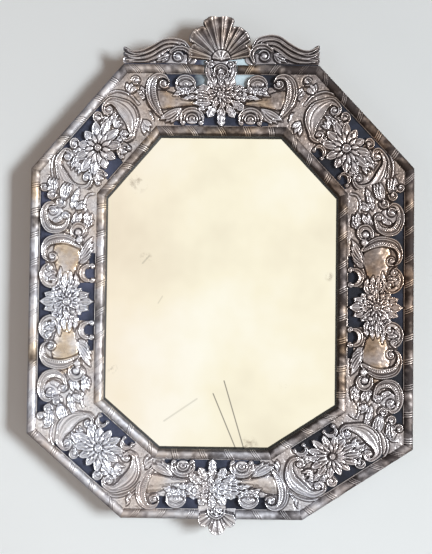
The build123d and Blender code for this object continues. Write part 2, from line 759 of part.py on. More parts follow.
def ring_pivot():
    """Axis of the ring's wire in the staple, as (x, depth, z)."""
    eye_back = STAPLE_WIRE
    return 0.0, (CARCASS_BACK + eye_back) / 2, FRAME_HEIGHT / 2 - STAPLE_BELOW_TOP


def hanging_ring():
    """Forged ring of eight-sided wire, hanging down behind the top rail."""
    x, depth, z = ring_pivot()
    sections = []
    for k in range(RING_FACETS):
        angle = 2 * pi * k / RING_FACETS
        section = []
        for across, rise in oval(RING_RADIUS, 0, RING_WIRE_RADIUS, RING_WIRE_RADIUS):
            section.append((x + across * sin(angle), z - RING_RADIUS + across * cos(angle), depth + rise))
        sections.append(section)
    return faceted(*sections, closed=True)


def staple_legs():
    """The two legs, driven into the back of the top rail above and below the ring's wire."""
    x, _, z = ring_pivot()
    spread = RING_WIRE_RADIUS + STAPLE_PLAY + STAPLE_WIRE / 2
    half = STAPLE_WIRE / 2
    legs = []
    for side in (-1, 1):
        legs.append(slab(square(x, z + side * spread, half), 0, CARCASS_BACK + STAPLE_LEG))
    return legs


def ring_staple():
    """Square-wire staple round the ring's wire."""
    low, high = staple_legs()
    x, _, z = ring_pivot()
    half = STAPLE_WIRE / 2
    spread = RING_WIRE_RADIUS + STAPLE_PLAY + STAPLE_WIRE
    bridge = [(x - half, z - spread), (x + half, z - spread), (x + half, z + spread), (x - half, z + spread)]
    return low + high + slab(bridge, 0, STAPLE_WIRE)


# ---- the whole part ----------------------------------------------------------------------

def build():
    nodes = {}
    for i, side in enumerate(SIDES):
        member = "stile" if side in ("left", "right") else "rail"
        nodes[f"{side}_{member}"] = rail(i)
        nodes[f"{side}_panel"] = panel(i)
        nodes[f"inner_moulding_{side}"] = inner_moulding(i)
    nodes.update(outer_mouldings())
    nodes["corner_keys"] = Compound([corner_key(i) for i in range(8)])
    nodes["crest_board"] = crest_board()
    nodes["drop_board"] = drop_board()
    ground = slab(from_outside(OUTER_MOULDING_WIDTH), CARCASS_FRONT, VELVET_FRONT)
    nodes["velvet_ground"] = ground - slab(from_opening(INNER_MOULDING_WIDTH), CARCASS_FRONT - 1, VELVET_FRONT + 1)
    nodes["crest_shell"] = crest_shell()
    nodes["crest_leaf_left"] = crest_leaf(-1, LEFT_LEAF_HEIGHT, nodes["crest_shell"])
    nodes["crest_leaf_right"] = crest_leaf(1, RIGHT_LEAF_HEIGHT, nodes["crest_shell"])
    nodes["drop_leaf"] = drop_leaf()
    nodes["mirror_plate"] = slab(glass_outline(), PACKING_FRONT, GLASS_FRONT)
    nodes["packing_board"] = slab(glass_outline(), CARCASS_BACK, PACKING_FRONT)
    nodes["backboard"] = backboard()
    nails = [backboard_nail(*place) for i in range(8) for place in backboard_nail_places(i)]
    nodes["backboard_nails"] = Compound(nails)
    nodes["edging_pins"] = Compound([edging_pin(i, place) for i in range(8) for place in pin_places(i)])
    nodes["ring_staple"] = ring_staple()
    nodes["hanging_ring"] = hanging_ring()
    return nodes


os.makedirs("parts", exist_ok=True)
for name, shape in build().items():
    export_step(shape, f"parts/{name}.step")
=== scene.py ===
import math

import bpy
import numpy as np
from mathutils import Matrix, Vector


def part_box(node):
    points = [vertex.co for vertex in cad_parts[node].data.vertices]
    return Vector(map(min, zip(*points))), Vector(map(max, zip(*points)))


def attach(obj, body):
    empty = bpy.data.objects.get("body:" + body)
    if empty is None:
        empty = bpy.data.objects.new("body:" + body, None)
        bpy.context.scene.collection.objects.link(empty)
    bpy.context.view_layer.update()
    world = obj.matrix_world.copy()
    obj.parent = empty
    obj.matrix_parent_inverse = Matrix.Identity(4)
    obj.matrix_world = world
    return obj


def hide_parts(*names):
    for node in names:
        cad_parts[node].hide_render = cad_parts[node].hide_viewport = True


# Octagonal tin mirror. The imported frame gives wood, glass, boards and fixings; this script
# hammers the tin in relief, rolls the mouldings, stretches the velvet and gives the finishes.
# Lengths are millimetres until a mesh is made. "Depth" is the distance in front of the wall,
# so it runs along -Y. x runs right and z up, from the middle of the octagon.

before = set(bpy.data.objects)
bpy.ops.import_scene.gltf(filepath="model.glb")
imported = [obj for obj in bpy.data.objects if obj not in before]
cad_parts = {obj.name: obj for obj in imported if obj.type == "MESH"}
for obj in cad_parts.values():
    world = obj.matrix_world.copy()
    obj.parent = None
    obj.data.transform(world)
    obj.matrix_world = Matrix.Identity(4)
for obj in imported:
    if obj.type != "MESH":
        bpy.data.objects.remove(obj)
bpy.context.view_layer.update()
MM = 0.001

# Octagon, over the metal edging
HALF_WIDTH, HALF_HEIGHT = 283.0, 334.0
CUTS = {"top_left": (134.0, 157.0), "top_right": (141.0, 151.0),
        "bottom_right": (161.0, 104.5), "bottom_left": (139.5, 121.0)}
SIDES = ["top", "upper_right", "right", "lower_right", "bottom", "lower_left", "left", "upper_left"]
MEMBERS = [side + ("_stile" if side in ("left", "right") else "_rail") for side in SIDES]
RAIL_WIDTHS = [106.0, 112.0, 112.0, 112.0, 101.0, 112.0, 112.0, 112.0]
MOULDING_WIDTH, MOULDING_RISE = 14.0, 7.0
EDGING_FOLD, EDGING = 14.0, 1.0

# Depths in front of the wall
CARCASS_FRONT, VELVET_FRONT, SHEET_FRONT = 28.0, 28.8, 29.8
DEEPEST_RELIEF = 36.3

# Crest and drop leaf
CREST_MIDDLE, STEM_HALF_WIDTH = -4.0, 25.0
STEM_FOOT = HALF_HEIGHT - 34.0
HINGE_Z = HALF_HEIGHT + 6.0
DROP_MIDDLE, DROP_HALF_WIDTH = -2.0, 27.0

# Working of the tin
GRID_STEP = 0.7
LINE_WIDTH, LINE_DEPTH = 2.4, 1.2
EDGE_WIDTH = 1.0
GROUND = 0.25
RIM = 0.8
FAR_OUTSIDE, FAR_INSIDE = -50.0, 3.0
EVERYWHERE = (slice(None), slice(None))
OUTWARD = math.pi / 2


# ---- octagon ----

def octagon():
    """Outer corners, clockwise from the left end of the top side."""
    w, h = HALF_WIDTH, HALF_HEIGHT
    (tlx, tlz), (trx, trz) = CUTS["top_left"], CUTS["top_right"]
    (brx, brz), (blx, blz) = CUTS["bottom_right"], CUTS["bottom_left"]
    return [(-w + tlx, h), (w - trx, h), (w, h - trz), (w, -h + brz),
            (w - brx, -h), (-w + blx, -h), (-w, -h + blz), (-w, h - tlz)]


def unit(start, end):
    length = math.hypot(end[0] - start[0], end[1] - start[1])
    return (end[0] - start[0]) / length, (end[1] - start[1]) / length


def ring(insets):
    """Corners of the octagon whose sides stand inside the outer ones by these insets."""
    corners = octagon()
    lines = []
    for i, inset in enumerate(insets):
        ux, uz = unit(corners[i], corners[(i + 1) % 8])
        lines.append((uz, -ux, uz * corners[i][0] - ux * corners[i][1] + inset))
    points = []
    for i in range(8):
        (a, b, c), (d, e, f) = lines[i - 1], lines[i]
        points.append(((c * e - b * f) / (a * e - b * d), (a * f - c * d) / (a * e - b * d)))
    return points


def from_outside(distance):
    return ring([distance] * 8)


def from_opening(distance):
    return ring([width - distance for width in RAIL_WIDTHS])


def blend(p, q, t):
    return p[0] + (q[0] - p[0]) * t, p[1] + (q[1] - p[1]) * t


def polar(centre, angle, along, across=None):
    """Place at an angle round a centre, on a circle or on an ellipse with two half-axes."""
    across = along if across is None else across
    return centre[0] + along * math.cos(angle), centre[1] + across * math.sin(angle)


def signed_area(corners):
    return sum(ax * bz - bx * az for (ax, az), (bx, bz) in zip(corners, corners[1:] + corners[:1])) / 2


def inside_polygon(x, z, corners):
    """Distance inside a convex polygon, negative outside."""
    turn = math.copysign(1.0, signed_area(corners))
    depth = np.full(np.shape(x), np.inf)
    for start, end in zip(corners, corners[1:] + corners[:1]):
        ux, uz = unit(start, end)
        depth = np.minimum(depth, turn * (ux * (z - start[1]) - uz * (x - start[0])))
    return depth


# ---- curves and small functions ----

CURVE_SPACING = 2.0
PLATEAU_EDGE = 0.12
# Patches after which the noise repeats, and how far into them the mirror's middle lies
LATTICE, LATTICE_OFFSET = 64, 500.0


def curve(points):
    """Smooth line through the points (Catmull-Rom), as an array of places."""
    p = np.asarray(points, float)
    q = np.vstack([2 * p[0] - p[1], p, 2 * p[-1] - p[-2]])
    line = []
    for k in range(len(p) - 1):
        a, b, c, d = q[k:k + 4]
        count = max(2, int(np.hypot(*(c - b)) / CURVE_SPACING))
        t = np.linspace(0, 1, count, endpoint=False)[:, None]
        line.append(0.5 * (2 * b + (c - a) * t + (2 * a - 5 * b + 4 * c - d) * t ** 2
                           + (3 * b - a - 3 * c + d) * t ** 3))
    return np.vstack([*line, p[-1:]])


def smooth(t):
    t = np.clip(t, 0, 1)
    return t * t * (3 - 2 * t)


def bump(value, centre, half_width):
    """Round ridge of height 1."""
    return smooth(1 - np.abs(value - centre) / half_width)


def plateau(value, low, high):
    """1 between low and high, with soft ends."""
    return smooth((value - low) / PLATEAU_EDGE + 0.5) * smooth((high - value) / PLATEAU_EDGE + 0.5)


def mottle(x, z, size, seed):
    """Smooth patchy noise from -1 to 1 with patches about this size."""
    lattice = np.random.default_rng(seed).uniform(-1, 1, (LATTICE, LATTICE))
    u, v = x / size + LATTICE_OFFSET, z / size + LATTICE_OFFSET
    iu, iv = np.floor(u).astype(int), np.floor(v).astype(int)
    fu, fv = smooth(u - iu), smooth(v - iv)
    a, b, c, d = (lattice[(iv + up) % LATTICE, (iu + over) % LATTICE] for up in (0, 1) for over in (0, 1))
    return (a * (1 - fu) + b * fu) * (1 - fv) + (c * (1 - fu) + d * fu) * fv


def blurred(values, cells):
    """Box blur, twice, over a square of this half-width in cells."""
    span = 2 * cells + 1
    for axis in (0, 1, 0, 1):
        ends = [(0, 0), (0, 0)]
        ends[axis] = (cells + 1, cells)
        total = np.cumsum(np.pad(values, ends, "edge"), axis)
        count = total.shape[axis]
        ahead = np.take(total, range(span, count), axis)
        behind = np.take(total, range(count - span), axis)
        values = (ahead - behind) / span
    return values


# ---- relief engine ----

# Depth and patch size of the hammer marks all over a sheet, and of the matting on its ground
HAMMER_MARKS = [(0.14, 5.5), (0.10, 2.3), (0.22, 19.0)]
GROUND_MARKS = [(0.34, 1.9), (0.30, 7.0)]
# Reach of the blurs that tell a fine ridge and a broad swelling from what is round them
FINE_REACH, BROAD_REACH = 1.5, 5.0
PLAIN_WARMTH, SCROLL_WARMTH, BELLY_WARMTH, FAN_WARMTH = 0.45, 0.25, 0.9, 0.5
BELLY_RISE, FAN_RISE = 5.4, 6.2
THINNEST = 0.35
# Columns of a clipped mesh's fields, and the tone of its walls' foot
DEPTH, FLOOR, TONES = 1, 3, slice(4, 6)
FOOT_TONE = 0.15


class Relief:
    """Hammered sheet: a height over the sheet's face and a distance inside the metal, on a grid.

    Forms are drawn in (u, v); at() says where a drawn point lies and scale how long a drawn
    millimetre is there.
    """

    scale = 1.0

    def __init__(self, low, high):
        margin = 2 * GRID_STEP
        self.x = np.arange(low[0] - margin, high[0] + margin, GRID_STEP)
        self.z = np.arange(low[1] - margin, high[1] + margin, GRID_STEP)
        self.X, self.Z = np.meshgrid(self.x, self.z)
        self.height = np.zeros_like(self.X)
        self.metal = np.full_like(self.X, FAR_OUTSIDE)
        self.grime_and_darkening = np.zeros_like(self.X)
        self.warm = np.full_like(self.X, PLAIN_WARMTH)

    def at(self, u, v):
        return u, v

    def region(self, points, reach):
        points = np.asarray(points, float)
        low, high = points.min(0) - reach, points.max(0) + reach
        cols = slice(*np.searchsorted(self.x, (low[0], high[0])))
        rows = slice(*np.searchsorted(self.z, (low[1], high[1])))
        return rows, cols

    def lay(self, place, inside, height, warm=0.0):
        """Work one form over what is there, with an incised line round it; warm is how golden it is."""
        under, metal, grime_and_darkening = self.height[place], self.metal[place], self.grime_and_darkening[place]
        line = bump(inside, -LINE_WIDTH / 2, LINE_WIDTH / 2)
        under -= LINE_DEPTH * line
        np.maximum(under, GROUND - LINE_DEPTH, out=under)
        share = smooth(inside / EDGE_WIDTH)
        under[:] = under * (1 - share) + height * share
        grime_and_darkening[:] = np.maximum(grime_and_darkening, line) * (1 - share)
        self.warm[place] = self.warm[place] * (1 - share) + warm * share
        np.maximum(metal, inside, out=metal)

    def ribbon(self, points, widths, work, warm=0.0):
        """Band along a smooth line through the points; widths are its half-widths, evenly spread.

        work(across, along, share, half) gives the height: across is 1 on the outer side of
        the bend and -1 on the inner side, along is in millimetres.
        """
        path = curve([self.at(*p) for p in points])
        widths = np.asarray(widths, float) * self.scale
        steps = np.diff(path, axis=0)
        runs = np.hypot(steps[:, 0], steps[:, 1])
        lengths = np.concatenate([[0], np.cumsum(runs)])
        turning = np.sum(steps[:-1, 0] * steps[1:, 1] - steps[:-1, 1] * steps[1:, 0])
        inner = 1.0 if turning >= 0 else -1.0
        place = self.region(path, widths.max() + LINE_WIDTH)
        X, Z = self.X[place], self.Z[place]
        best = np.full(X.shape, np.inf)
        left, along = np.zeros(X.shape), np.zeros(X.shape)
        for start, step, run, length in zip(path, steps, runs, lengths):
            if run < 1e-6:
                continue
            dx, dz = X - start[0], Z - start[1]
            t = np.clip((dx * step[0] + dz * step[1]) / run ** 2, 0, 1)
            distance = np.hypot(dx - t * step[0], dz - t * step[1])
            near = distance < best
            best[near] = distance[near]
            left[near] = np.where(step[0] * dz - step[1] * dx >= 0, 1.0, -1.0)[near]
            along[near] = (length + t * run)[near]
        share = along / lengths[-1]
        half = np.maximum(np.interp(share, np.linspace(0, 1, len(widths)), widths), 0.3)
        across = np.clip(-inner * left * best / half, -1, 1)
        self.lay(place, half - best, work(across, along, share, half), warm)

    def strip(self, points, widths, height):
        """Flat band."""
        self.ribbon(points, widths, lambda across, along, share, half: height)

    def round_about(self, centre, radius):
        """Grid region, distance and angle round a drawn centre, and the radius as it lies there."""
        (cx, cz), radius = self.at(*centre), radius * self.scale
        place = self.region([(cx, cz)], radius + LINE_WIDTH)
        dx, dz = self.X[place] - cx, self.Z[place] - cz
        return place, np.hypot(dx, dz), np.arctan2(dz, dx), radius

    def disc(self, centre, radius, work):
        """Round form; work(share of the radius) gives the height."""
        place, distance, _, radius = self.round_about(centre, radius)
        self.lay(place, radius - distance, work(np.clip(distance / radius, 0, 1)))

    def pad(self, centre, radius, height):
        """Flat round form."""
        self.disc(centre, radius, lambda share: height)

    # -- forms --

    def scroll(self, points, widths, rise, roped=False):
        """C-scroll: a turned rim, a hollow and a lip; broad ones have inner lines or a rope."""
        def work(across, along, share, half):
            from_rim, from_lip = (1 - across) * half, (1 + across) * half
            rim, lip = bump(from_rim, 1.4, 1.4), bump(from_lip, 1.1, 1.1)
            broad = smooth((half - 3.8) / 1.6)
            level = 0.58 + 0.42 * rim - 0.34 * bump(from_rim, 3.2, 1.0) + 0.34 * lip * (1 - rim)
            if roped:
                rope = 0.5 + 0.5 * np.sin(2 * math.pi * (along / 3.4 + 0.5 * across))
                level -= broad * 0.40 * bump(across, 0.10, 0.30)
                level += broad * (0.42 * rope - 0.12) * plateau(from_lip / half, 0.24, 0.74)
            else:
                fluting = np.sin(2 * math.pi * along / 2.2)
                level -= broad * 0.30 * bump(from_rim, 0.80 * half, 1.6)
                level -= broad * 0.16 * bump(across, -0.30, 0.50)
                level += broad * 0.05 * fluting * plateau(from_lip / half, 0.20, 1.0)
            return rise * level * (0.80 + 0.20 * np.sin(math.pi * share))

        self.ribbon(points, widths, work, SCROLL_WARMTH)

    def volute(self, centre, radius, opening, rise, turned=1):
        """Scroll end: a rim that starts in a drawn direction and winds in to a ball."""
        origin, along, across = (np.array(self.at(*spot)) for spot in ((0, 0), (1, 0), (0, 1)))
        (ax, az), (bx, bz) = along - origin, across - origin
        first_x = ax * math.cos(opening) + bx * math.sin(opening)
        first_z = az * math.cos(opening) + bz * math.sin(opening)
        hand = turned * np.sign(ax * bz - az * bx)
        place, distance, angle, radius = self.round_about(centre, radius)
        wound = (hand * (angle - math.atan2(first_z, first_x)) / (2 * math.pi)) % 1.0
        edge = radius * (1.0 - 0.38 * wound)
        ball = np.sqrt(np.clip(1 - (distance / (0.48 * radius)) ** 2, 0, 1))
        rim = bump(distance / edge, 0.80, 0.22) * smooth(5 * (1 - wound))
        self.lay(place, edge - distance, rise * (0.16 + 0.60 * rim + 0.78 * ball))

    def ball(self, centre, radius, rise):
        """Flattened boss with a punched hollow."""
        def work(share):
            return rise * (0.34 + 0.56 * np.sqrt(1 - 0.94 * share ** 2) - 0.16 * bump(share, 0.0, 0.42))

        self.disc(centre, radius, work)

    def leaf(self, points, half, rise, lobes=0, blunt=0.45):
        """Leaf or petal: a raised outline, hollow halves and a midrib; lobed ones have veins."""
        shares = np.linspace(0, 1, 25)
        outline = np.sin(math.pi * shares ** (math.log(0.5) / math.log(blunt)))
        widths = 0.4 + half * np.maximum(outline, 0) ** 0.75
        if lobes:
            widths *= 0.72 + 0.28 * np.abs(np.sin(math.pi * (lobes * shares + 0.15)))

        def work(across, along, share, width):
            edge, middle = (1 - np.abs(across)) * width, np.abs(across) * width
            wide = smooth((width - 2.2) / 1.6)
            level = 0.62 + 0.34 * np.cos(across * math.pi / 2) * (1 - 0.6 * wide)
            level += wide * (0.30 * bump(edge, 1.1, 1.1) - 0.26 * bump(edge, 2.9, 1.2))
            level += wide * 0.34 * bump(middle, 0.0, 1.5) * smooth(6 * (1 - share))
            if lobes:
                slant = (share - 0.10 * np.abs(across)) * lobes
                level -= wide * 0.34 * np.abs(across) ** 0.5 * bump(slant - np.floor(slant), 0.85, 0.18)
            level -= 0.42 * bump(middle, 0.0, 0.9) * smooth(3 * (0.62 - share))
            return rise * level * (0.74 + 0.26 * np.sin(math.pi * share ** 0.8))

        self.ribbon(points, widths, work)

    def rib(self, points, half, rise):
        """Plain raised line that fades at both ends."""
        def work(across, along, share, width):
            crown = 0.25 + 0.75 * np.cos(across * math.pi / 2)
            return rise * crown * smooth(7 * share) * smooth(7 * (1 - share))

        self.ribbon(points, [half, half], work)

    def belly(self, points, widths):
        """Plain polished swelling with a beaten surface, golden."""
        def work(across, along, share, half):
            crown = np.sqrt(1 - 0.97 * across ** 2)
            dents = 0.7 * mottle(along, 12 * across, 9.0, 7) + 0.35 * mottle(along, 12 * across, 4.0, 8)
            return BELLY_RISE * (0.20 + 0.72 * crown) * (0.74 + 0.26 * np.sin(math.pi * share)) + dents

        self.ribbon(points, widths, work, BELLY_WARMTH)

    def spray(self, root, tips, half, rise, lobes=0):
        """Fan of pointed leaves from one root."""
        for tip in tips:
            self.leaf([root, tip], half, rise, lobes, 0.55)

    def arch(self, centre, radius, crown, half, ridges, ball, rise=4.6):
        """Half-round scroll standing on two balls, with ridges inside; crown is its direction."""
        def band(reach, spread, widths, height):
            turns = np.radians(np.linspace(-spread, spread, 7))
            self.scroll([polar(centre, crown + turn, reach) for turn in turns], widths, height)

        if ridges:
            self.pad(polar(centre, crown, 0.28 * radius), 0.64 * radius, 1.2)
        for k in range(ridges, 0, -1):
            reach = (radius - 2 * half) * (k - 0.2) / ridges
            band(reach, 100, [1.0, 1.5, 1.8, 1.8, 1.8, 1.5, 1.0], 0.66 * rise)
        band(radius - half, 104, [1.8, 0.8 * half, half, half, half, 0.8 * half, 1.8], rise)
        for side in (-1, 1):
            foot = polar(centre, crown + side * math.radians(112), 0.70 * radius)
            self.volute(foot, ball, crown + side * 0.4, rise, side)

    def curl(self, centre, radius, opening, half, turned, rise):
        """Hook of a scroll round a ball: it opens at a drawn direction and winds from there."""
        turns = opening + turned * np.radians([35, 80, 130, 180, 230, 280, 330])
        reach = (radius - half) * np.array([1.12, 1.02, 1.0, 0.98, 0.92, 0.82, 0.66])
        self.pad(centre, radius - half, 1.2)
        self.scroll([polar(centre, turn, r) for r, turn in zip(reach, turns)],
                    [0.5 * half, 0.8 * half, half, half, 0.9 * half, 0.65 * half, 0.4 * half], rise)
        self.ball(polar(centre, opening, 0.08 * radius), 0.37 * radius, 1.1 * rise)

    def flower(self, centre, petals, reach, start, boss, sepals=True):
        """Daisy of pointed petals that reach (along, across), short ones between and a ringed boss."""
        mean = 0.5 * (reach[0] + reach[1])

        def petal(k, near, far, half, rise):
            angle = start + 2 * math.pi * k / petals
            ends = [polar(centre, angle, part * reach[0], part * reach[1]) for part in (near, far)]
            self.leaf(ends, half * mean / petals, rise, 0, 0.6)

        for k in range(petals):
            petal(k + 0.5, 0.15, 0.92 + 0.08 * math.cos(5 * k), 1.9, 4.6)
        for k in range(petals if sepals else 0):
            petal(k, 0.12, 0.52, 0.8, 5.2)
        self.disc(centre, boss, lambda share: 3.2 + 2.4 * bump(share, 0.80, 0.20)
                  + 2.8 * np.sqrt(np.clip(1 - (share / 0.50) ** 2, 0, 1)))

    def fan(self, hinge, first, last, reach, flutes, base, notch=0.90):
        """Shell lobe between two directions in degrees, with hollow flutes between narrow ridges.

        base is its height at the hinge and notch its reach at the two sides, as a share.
        """
        distance = np.hypot(self.X - hinge[0], self.Z - hinge[1])
        angle = np.degrees(np.arctan2(self.Z - hinge[1], self.X - hinge[0]))
        t = np.clip((angle - first) / (last - first), 0, 1)
        edge = reach * (notch + (1 - notch) * np.sin(math.pi * t) ** 0.6)
        share = np.clip(distance / edge, 0, 1)
        to_side = distance * np.sin(np.radians(np.clip(np.minimum(angle - first, last - angle), -60, 60)))
        flute = t * flutes - np.floor(t * flutes)
        height = base + (FAN_RISE - base) * smooth(1.2 * share)
        height -= 1.5 * bump(flute, 0.5, 0.34) * smooth(2 * share)
        height += 0.9 * (bump(flute, 0.14, 0.13) + bump(flute, 0.86, 0.13)) * smooth(3 * share)
        height += 0.9 * bump(share, 0.94, 0.06)
        self.lay(EVERYWHERE, np.minimum(edge - distance, to_side + 0.4), height, FAN_WARMTH)

    # -- sheet --

    def keep_within(self, *distances):
        """Trim the metal to where all these distances are positive."""
        for distance in distances:
            self.metal = np.minimum(self.metal, distance)

    def hammer(self, seed):
        """Hammer marks all over, a matted ground, dished edges where the sheet is pierced."""
        ground = 1 - smooth((self.height - GROUND) / 0.9)
        for k, (depth, size) in enumerate(HAMMER_MARKS + GROUND_MARKS):
            where = ground if k >= len(HAMMER_MARKS) else 1
            self.height += where * depth * mottle(self.X, self.Z, size, seed + k)
        self.height -= 0.8 * (1 - smooth(self.metal / 1.1)) * smooth(self.height / 1.0)

    def mesh(self, name, face_depth, floor):
        """Sheet with walls: top faces cut along the metal's edge, walls back to the floor depth."""
        floor = np.broadcast_to(np.asarray(floor, float), self.X.shape)
        depth = np.maximum(np.minimum(face_depth + self.height, DEEPEST_RELIEF), floor + THINNEST)
        fine = self.height - blurred(self.height, round(FINE_REACH / GRID_STEP))
        broad = self.height - blurred(self.height, round(BROAD_REACH / GRID_STEP))
        patchy = np.clip(0.78 + 0.55 * mottle(self.X, self.Z, 8.0, 5), 0.2, 1.2)
        wear_and_shade = 0.59 + 0.27 * np.tanh(fine / 0.60) + 0.15 * np.tanh(broad / 2.2)
        wear_and_shade -= 0.29 * self.grime_and_darkening * patchy + 0.13 * self.warm
        fields = np.dstack([self.X, depth, self.Z, floor, np.clip(wear_and_shade, 0, 1), self.warm])
        return clipped_mesh(name, fields, self.metal + 1e-4)


def clipped_mesh(name, fields, metal):
    """Mesh of the grid where metal > 0, cut along metal = 0, with a wall back to the floor.

    fields holds x, depth, z, depth of the floor, wear and warmth of each grid point.
    """
    solid = metal > 0
    base = int(solid.sum())
    index = np.full(metal.shape, -1)
    index[solid] = np.arange(base)
    corners = solid[:-1, :-1].astype(int) + solid[1:, :-1] + solid[:-1, 1:] + solid[1:, 1:]
    r, c = np.nonzero(corners == 4)
    faces = np.stack([index[r, c], index[r, c + 1], index[r + 1, c + 1], index[r + 1, c]], 1).tolist()
    cut, crossings, edges = {}, [], []

    def crossing(*ends):
        a, b = key = tuple(sorted(ends))
        if key not in cut:
            t = metal[a] / (metal[a] - metal[b])
            cut[key] = base + len(crossings)
            crossings.append(fields[a] * (1 - t) + fields[b] * t)
        return cut[key]

    for r, c in np.argwhere((corners > 0) & (corners < 4)).tolist():
        cell = [(r, c), (r, c + 1), (r + 1, c + 1), (r + 1, c)]
        polygon = []
        for here, there in zip(cell, cell[1:] + cell[:1]):
            if solid[here]:
                polygon.append(int(index[here]))
            if solid[here] != solid[there]:
                polygon.append(crossing(here, there))
        faces.append(polygon)
        edges += [(a, b) for a, b in zip(polygon, polygon[1:] + polygon[:1]) if min(a, b) >= base]
    drop = len(crossings)
    faces += [(b, a, a + drop, b + drop) for a, b in edges]
    rim = np.array(crossings)
    foot = rim.copy()
    foot[:, DEPTH] = rim[:, FLOOR]
    foot[:, TONES] = FOOT_TONE
    table = np.vstack([fields[solid], rim, foot])
    piece = new_mesh(name, table[:, :3] * (MM, -MM, MM), faces, table[:, TONES])
    sharp_edges(piece, {tuple(sorted(edge)) for edge in edges})
    return piece


# ---- meshes ----

def new_mesh(name, verts, faces, tone=None, soft=True):
    data = bpy.data.meshes.new(name)
    data.from_pydata(np.asarray(verts).tolist(), [], faces)
    data.validate()
    if tone is not None:
        for key, column in zip(("wear_and_shade", "warm"), np.asarray(tone, np.float32).T):
            layer = data.attributes.new(key, "FLOAT", "POINT")
            layer.data.foreach_set("value", np.ascontiguousarray(column))
    data.polygons.foreach_set("use_smooth", [soft] * len(data.polygons))
    data.update()
    piece = bpy.data.objects.new(name, data)
    bpy.context.scene.collection.objects.link(piece)
    return piece


def sharp_edges(piece, pairs):
    data = piece.data
    ends = np.empty(2 * len(data.edges), int)
    data.edges.foreach_get("vertices", ends)
    flags = [tuple(sorted(pair)) in pairs for pair in ends.reshape(-1, 2).tolist()]
    layer = data.attributes.get("sharp_edge") or data.attributes.new("sharp_edge", "BOOLEAN", "EDGE")
    layer.data.foreach_set("value", flags)


def skin(name, sections, tone=None, closed=False):
    """Faces between closed sections of equal counts: places (section, point, x-depth-z) and tones.

    The last section joins the first if closed; otherwise the two ends are capped.
    """
    rings, count = sections.shape[:2]

    def spot(k, j):
        return (k % rings) * count + j % count

    faces = [(spot(k, j), spot(k, j + 1), spot(k + 1, j + 1), spot(k + 1, j))
             for k in range(rings if closed else rings - 1) for j in range(count)]
    if not closed:
        faces += [tuple(reversed(range(count))), tuple(range((rings - 1) * count, rings * count))]
    verts = sections.reshape(-1, 3) * (MM, -MM, MM)
    return new_mesh(name, verts, faces, None if tone is None else tone.reshape(-1, tone.shape[-1]))


def dress(piece, material, node, body="frame"):
    """Material, body, and hiding of the CAD node that the piece stands for."""
    piece.data.materials.append(material)
    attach(piece, body)
    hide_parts(node)
    return piece


# ---- panels ----

# Each panel's ornament is drawn for a field of nominal length and width, centred on a point
# shifted along the rail and leaning towards one end, as in the part's own panels. Both halves
# of a panel carry the same forms, mirrored.
FIELD_WIDTH = 86.0
NOMINAL_LENGTHS = {"side": 345.0, "top": 235.0, "bottom": 213.0, "diagonal": 164.0}
SIDE_SHIFTS = {"right": 3.5, "left": -3.5}
# Shift, lean and heading of the field of each diagonal panel
DIAGONAL_SETTING = {"upper_left": (-13.0, 0.2, 1), "upper_right": (-13.0, 0.2, -1),
                    "lower_right": (-1.0, -0.2, 1), "lower_left": (-4.0, 0.0, -1)}
# Half-width of the large scrolls at the two ends of each diagonal panel, start and end of u
SCROLL_BREADTHS = {"upper_left": (8.5, 13.0), "upper_right": (9.5, 13.0),
                   "lower_right": (12.0, 9.5), "lower_left": (12.5, 11.0)}
# Petals and boss radius of each diagonal panel's flower
FLOWERS = {"upper_left": (11, 5.2), "upper_right": (12, 6.8),
           "lower_right": (14, 4.6), "lower_left": (12, 6.6)}


class Field(Relief):
    """One panel: u along the rail and v outward, in drawn millimetres; mirror is the half drawn in."""

    def __init__(self, i, nominal_length, shift=0.0, lean=0.0, heading=1):
        outside, inside = from_outside(MOULDING_WIDTH), from_opening(MOULDING_WIDTH)
        j = (i + 1) % 8
        self.outline = [outside[i], outside[j], inside[j], inside[i]]
        corners = np.array(self.outline)
        super().__init__(corners.min(0), corners.max(0))
        start, end = blend(outside[i], inside[i], 0.5), blend(outside[j], inside[j], 0.5)
        self.middle = blend(start, end, 0.5)
        self.axis = unit(start, end)
        self.u_scale = math.hypot(end[0] - start[0], end[1] - start[1]) / nominal_length
        self.v_scale = (RAIL_WIDTHS[i] - 2 * MOULDING_WIDTH) / FIELD_WIDTH
        self.scale = math.sqrt(self.u_scale * self.v_scale)
        self.shift, self.lean, self.heading = shift, lean, heading
        self.mirror = 1
        self.height += GROUND
        self.open_depth = np.full_like(self.X, -np.inf)

    def at(self, u, v):
        across = v * self.v_scale
        run = self.heading * (self.shift + self.mirror * u + self.lean * v) * self.u_scale
        ux, uz = self.axis
        return self.middle[0] + ux * run - uz * across, self.middle[1] + uz * run + ux * across

    def pierce(self, *windows):
        """Open windows, each between two places along the rail and two across it."""
        for u0, u1, v0, v1 in windows:
            corners = [self.at(u0, v0), self.at(u1, v0), self.at(u1, v1), self.at(u0, v1)]
            self.open_depth = np.maximum(self.open_depth, inside_polygon(self.X, self.Z, corners))

    def close(self, i):
        """Flat metal everywhere but in the windows, hammered, trimmed and made into a mesh."""
        from_outline = inside_polygon(self.X, self.Z, self.outline)
        plain = np.maximum(-self.open_depth, RIM - from_outline)
        self.metal = np.maximum(self.metal, np.clip(plain, FAR_OUTSIDE, FAR_INSIDE))
        self.hammer(10 * i)
        self.keep_within(from_outline)
        return self.mesh(f"tin_panel_{SIDES[i]}", SHEET_FRONT, VELVET_FRONT)


